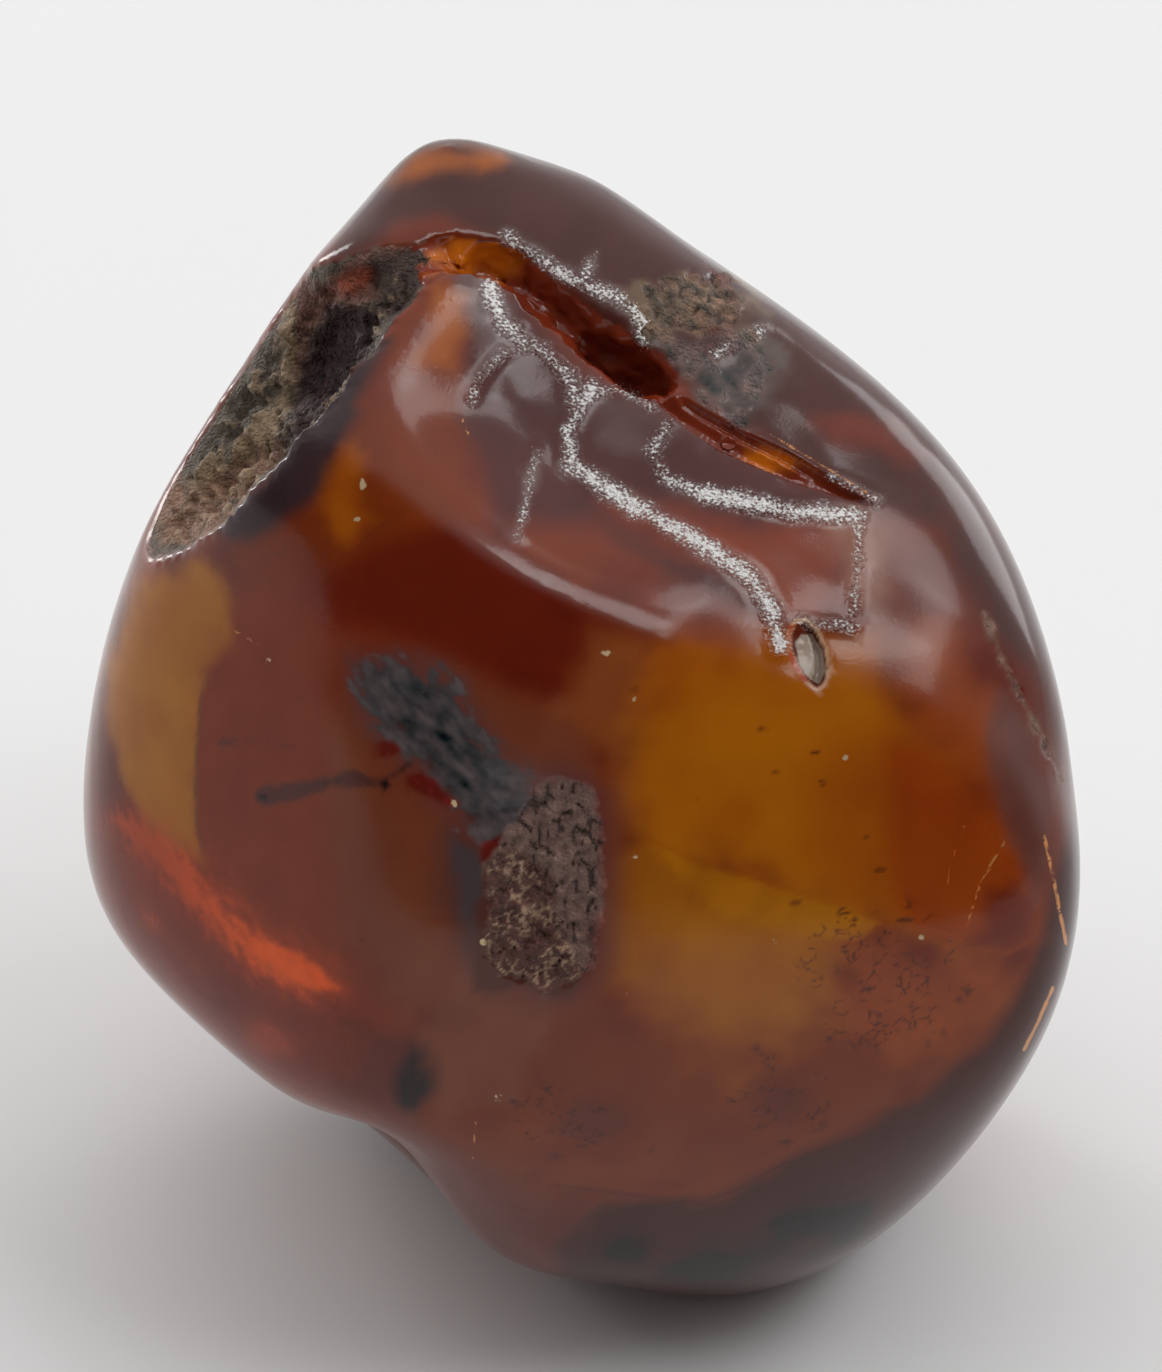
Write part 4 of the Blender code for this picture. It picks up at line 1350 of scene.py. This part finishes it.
@dataclass
class SkinPaint:
    """The tone, the clarity and the other fields that the finish reads, laid on the embossed skin."""

    skin: Skin
    depths: dict[str, np.ndarray]
    tones: BodyTones = field(default_factory=BodyTones)
    brush: Brush = field(default_factory=Brush)
    patches: dict[str, np.ndarray] = field(init=False)
    wide: np.ndarray = field(init=False)
    drift: np.ndarray = field(init=False)
    stray: np.ndarray = field(init=False)
    fibre: np.ndarray = field(init=False)
    tone: np.ndarray = field(init=False)
    clear: np.ndarray = field(init=False)

    def __post_init__(self) -> None:
        """Reads the noises and the patches, whose borders the noises fray."""
        skin, brush = self.skin, self.brush
        self.wide, self.drift = skin.cloud(Cloud.WIDE), skin.cloud(Cloud.DRIFT)
        self.stray, self.fibre = skin.cloud(Cloud.STRAY), skin.cloud(Cloud.FIBRE)
        patches = {name: skin.patch(name) for name in PATCHES}
        patches["crust_halo"] = np.maximum(patches["crust"] + brush.halo[0], patches["slate"] + brush.halo[1])
        patches["slate"] = patches["slate"] + self.fibre * brush.slate_fray[0] + self.stray * brush.slate_fray[1]
        for name, fray in FRAYED.items():
            patches[name] = patches[name] + self.stray * fray
        patches["bark"] = self.depths["bark"]
        # the painted highlight of the hollow's near lip: a band about the lip, inside near_rim
        middle, half = brush.lip_line
        patches["lip_line"] = np.minimum(patches["near_rim"], half - abs(self.depths["bark"] - middle))
        patches |= {name: skin.places_near(name) + self.stray * brush.back_fray for name in BACK_PLACES}
        self.patches = patches

    def lay(self, rise: np.ndarray, grooves: np.ndarray) -> None:
        """Paints the skin and writes its fields.

        Args:
            rise: how far each point is raised, in millimetres.
            grooves: how much of a groove each point is in, from 0 to 1.
        """
        self.body()
        for wash in WASHES:
            self.wash(wash, self.drift)
        self.mottle()
        self.ember_glows()
        self.crackle()
        low = smooth_step(self.patches["crust_low"], *self.brush.low_edge)
        self.web(low)
        self.cuts()
        self.skin.write("tone", np.clip(self.tone, self.brush.darkest, 1))
        self.skin.write("clarity", np.clip(self.clear, 0, 1))
        self.skin.write("crusty", self.crusty())
        self.skin.write("groove", grooves * (1 - low * self.brush.low_grooves))
        self.skin.write("rise", rise)
        for name in (*MARK_EDGES, "glint"):
            self.skin.write(name, self.patches[name])

    def cover(self, wash: Wash, wander: np.ndarray) -> np.ndarray:
        """How strongly a wash covers each point, from 0 to 1."""
        depth = self.patches[wash.zone] + wander * 2 * wash.wander
        return smooth_step(depth, -wash.soft / 2, wash.soft / 2) * wash.cover

    def wash(self, wash: Wash, wander: np.ndarray) -> None:
        """Lays one wash over the tone and the clarity."""
        cover = self.cover(wash, wander)
        self.tone = over(self.tone, wash.tone, cover)
        if wash.clear is not None:
            self.clear = self.clear * (1 - cover) + wash.clear * cover

    def body(self) -> None:
        """The tone and clarity where no wash lies: red-brown clouds, and the windows of the sides and the back."""
        shade = smooth_step(self.wide + self.drift * self.brush.shade_drift, *self.brush.shade_edge)
        self.tone = over(np.array(self.tones.body_dark), self.tones.body, shade)
        self.clear = np.full(len(shade), self.tones.clear_body)
        for wash in BACK_WASHES:
            self.wash(wash, self.wide + self.drift * self.brush.drift_share)

    def mottle(self) -> None:
        """Varies the tone: in fine streaks on the slate and the brow, and softly all over."""
        brush, patches = self.brush, self.patches
        mottled = np.max([patches["slate"], patches["brow"], patches["brow_grey"]], axis=0)
        mottled = smooth_step(mottled, *brush.mottle_edge) * (1 - smooth_step(patches["crust"], *brush.mottle_edge))
        mottled = (mottled * (self.fibre + self.stray * brush.mottle_stray))[:, None]
        self.tone = self.tone * (1 + mottled * np.array(brush.mottle_tint))
        self.tone = self.tone * (1 + self.drift[:, None] * np.array(brush.drift_tint))

    def ember_glows(self) -> None:
        """The orange streaks on the left, a painted glow of light caught in inner fractures, dimmer towards the edge,
        and their tip.
        """
        brush, tones = self.brush, self.tones
        ember = self.patches["ember"] + self.skin.cloud(Cloud.STREAKS) * brush.ember_fray
        least, gain = brush.ember_dimmed
        lit = least + gain * smooth_step(self.skin.pixels[:, 0], *brush.ember_lit_px)
        for colour, edge in zip((tones.ember_glow_dim, tones.ember), brush.ember_edges):
            self.tone = over(self.tone, colour, smooth_step(ember, *edge) * lit)
        tip = smooth_step(self.patches["ember_tip"] + self.stray * brush.tip_fray, *brush.tip_edge)
        self.tone = over(self.tone, tones.ember, tip * brush.tip_cover)

    def crackle(self) -> None:
        """The dark net of the crazed bands."""
        brush = self.brush
        crackle = np.maximum(self.patches["crackle"], self.patches["back_crackle"])
        net = 1 - smooth_step(self.skin.cells(brush.net_cells, 1.0, crackle > -brush.net_reach), *brush.net_line)
        banded = crackle * brush.net_gain[0] + self.stray * brush.net_gain[1]
        net = net * smooth_step(banded, *brush.net_edge) * brush.net_cover
        self.tone = over(self.tone, self.tones.crackle, net)

    def web(self, low: np.ndarray) -> None:
        """The pale web on the crust's lower part, where low is 1."""
        brush, patches = self.brush, self.patches
        size, tall = brush.web_cells
        web = 1 - smooth_step(self.skin.cells(size, tall, patches["crust_low"] > -brush.web_reach), *brush.web_line)
        web = web * low * smooth_step(patches["crust"], *brush.web_edge) * smooth_step(self.stray, *brush.web_gaps)
        self.tone = over(self.tone, self.tones.web, web)

    def cuts(self) -> None:
        """The insides of the fissure, the pit and the hollow, which aren't clear in the first two."""
        brush, depths, tones = self.brush, self.depths, self.tones
        glow = smooth_step(self.patches["crack_glow"] + self.stray * brush.glow_fray, *brush.glow_edge)
        inside = smooth_step(depths["fissure"], *brush.fissure_edge)
        self.tone = over(self.tone, over(np.array(tones.crack), tones.crack_glow, glow), inside)
        in_pit = smooth_step(depths["pit"], *brush.pit_edge)
        in_pit = in_pit * (1 - smooth_step(self.patches["bowl"], *brush.bowl_edge))
        self.tone = over(self.tone, np.array(tones.crack) * brush.pit_gain, in_pit)
        self.clear = self.clear * (1 - inside) * (1 - in_pit)
        hollow = self.tone
        for wash in HOLLOW_WASHES:
            hollow = over(hollow, wash.tone, self.cover(wash, self.drift))
        self.tone = over(self.tone, hollow, smooth_step(depths["bark"], *brush.bark_edge))

    def crusty(self) -> np.ndarray:
        """How far inside the dull crust each point is, in millimetres, and below 0 outside."""
        brush, patches = self.brush, self.patches
        steep, lip = brush.hollow_crust
        behind = patches["back_bark"] + (self.wide + self.drift * brush.drift_share) * brush.back_crust
        brows = [patches[name] - brush.brow_back for name in ("brow", "side_crust")]
        crusty = np.max([patches["crust"], *brows, self.depths["bark"] * steep - lip, behind], axis=0)
        gain, back = brush.grey_crust
        grey = np.where(patches["brow_grey"] > 0, self.stray * gain - back, self.skin.lowest)
        return np.maximum(crusty, grey)


@dataclass(frozen=True)
class Softbox:
    """A rectangular lamp that faces the nugget. glow is how bright its face is, where a white wall is about 1."""

    name: str
    place: Triple
    size: tuple[float, float]
    glow: float
    aim: Triple = (0.0, 0.0, 0.03)

    def build(self) -> None:
        """Adds the lamp."""
        bpy.ops.object.light_add(type="AREA", location=self.place)
        lamp = bpy.context.object
        lamp.name = self.name
        lamp.data.shape = "RECTANGLE"
        lamp.data.size, lamp.data.size_y = self.size
        lamp.data.energy = self.glow * math.pi * self.size[0] * self.size[1]
        lamp.rotation_euler = (Vector(self.place) - Vector(self.aim)).to_track_quat("Z", "Y").to_euler()


@dataclass
class Studio:
    """A pale floor and a light tent that is open in front.

    Sizes are in metres. wall_from and roof_back are how far back, and roof_from how high, the tent's wall and roof
    start and are whole, along a direction of length 1.
    """

    floor_size: float = 6.0
    floor_tone: float = 0.88
    floor_rough: float = 0.8
    wall_from: Pair = (-0.55, 0.05)
    roof_from: Pair = (0.50, 0.82)
    roof_back: Pair = (-0.62, -0.30)
    roof_glow: float = 1.25
    side_glow: float = 1.0
    front_glow: float = 0.08
    softboxes: tuple[Softbox, ...] = (
        Softbox("brow_box", (0.200, -0.150, 0.42), (0.12, 0.12), 4.5),
        Softbox("top_box", (0.268, 0.022, 0.40), (0.10, 0.10), 3.5),
        Softbox("ridge_box", (0.295, -0.140, 0.42), (0.27, 0.05), 3.0, (0.0, -0.14, 0.03)),
        Softbox("right_box", (0.42, 0.40, 0.14), (0.25, 0.30), 2.5),
        Softbox("left_box", (-0.33, 0.36, 0.16), (0.08, 0.30), 8.0),
    )

    def build(self) -> None:
        """Adds the floor, the tent and the lamps."""
        self.floor()
        self.tent()
        for softbox in self.softboxes:
            softbox.build()

    def floor(self) -> None:
        """The pale floor, which isn't part of the object."""
        bpy.ops.mesh.primitive_plane_add(size=self.floor_size)
        floor = bpy.context.object
        floor.name = "floor"
        material = bpy.data.materials.new("floor_pale")
        nodes = Nodes(material)
        values = {"Base Color": (self.floor_tone,) * 3, "Roughness": self.floor_rough}
        paint = nodes.add("ShaderNodeBsdfPrincipled", {}, values, "BSDF")
        nodes.add("ShaderNodeOutputMaterial", {}, {"Surface": paint})
        floor.data.materials.append(material)

    def tent(self) -> None:
        """Soft light from above, behind and both sides, with the dark opening in front."""
        world = bpy.data.worlds.new("tent")
        nodes = Nodes(world, "Generated")
        depth = nodes.add("ShaderNodeSeparateXYZ", {}, {0: nodes.places}, "Y")
        rise = nodes.add("ShaderNodeSeparateXYZ", {}, {0: nodes.places}, "Z")
        wall = depth.step(*self.wall_from) * (self.side_glow - self.front_glow) + self.front_glow
        roof = rise.step(*self.roof_from) * depth.step(*self.roof_back)
        glow = wall * (1 - roof) + roof * self.roof_glow
        light = nodes.add("ShaderNodeBackground", {}, {"Strength": glow})
        nodes.add("ShaderNodeOutputWorld", {}, {"Surface": light})
        bpy.context.scene.world = world


def main() -> None:
    """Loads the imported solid, dresses it, and sets the studio and the camera."""
    logging.basicConfig(level=logging.INFO, format="%(name)s: %(message)s")
    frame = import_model()
    view = PhotoView()
    view.build()
    piece = NuggetSkin(frame["nodes"]["nugget"], view).build()
    piece.data.materials.clear()
    piece.data.materials.append(AmberFinish().build())
    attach(piece, "root")
    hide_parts("nugget")
    LOG.info("nugget: %d faces", len(piece.data.polygons))
    Studio().build()
    bpy.context.scene.view_settings.view_transform = "Standard"


if __name__ == "__main__":
    main()
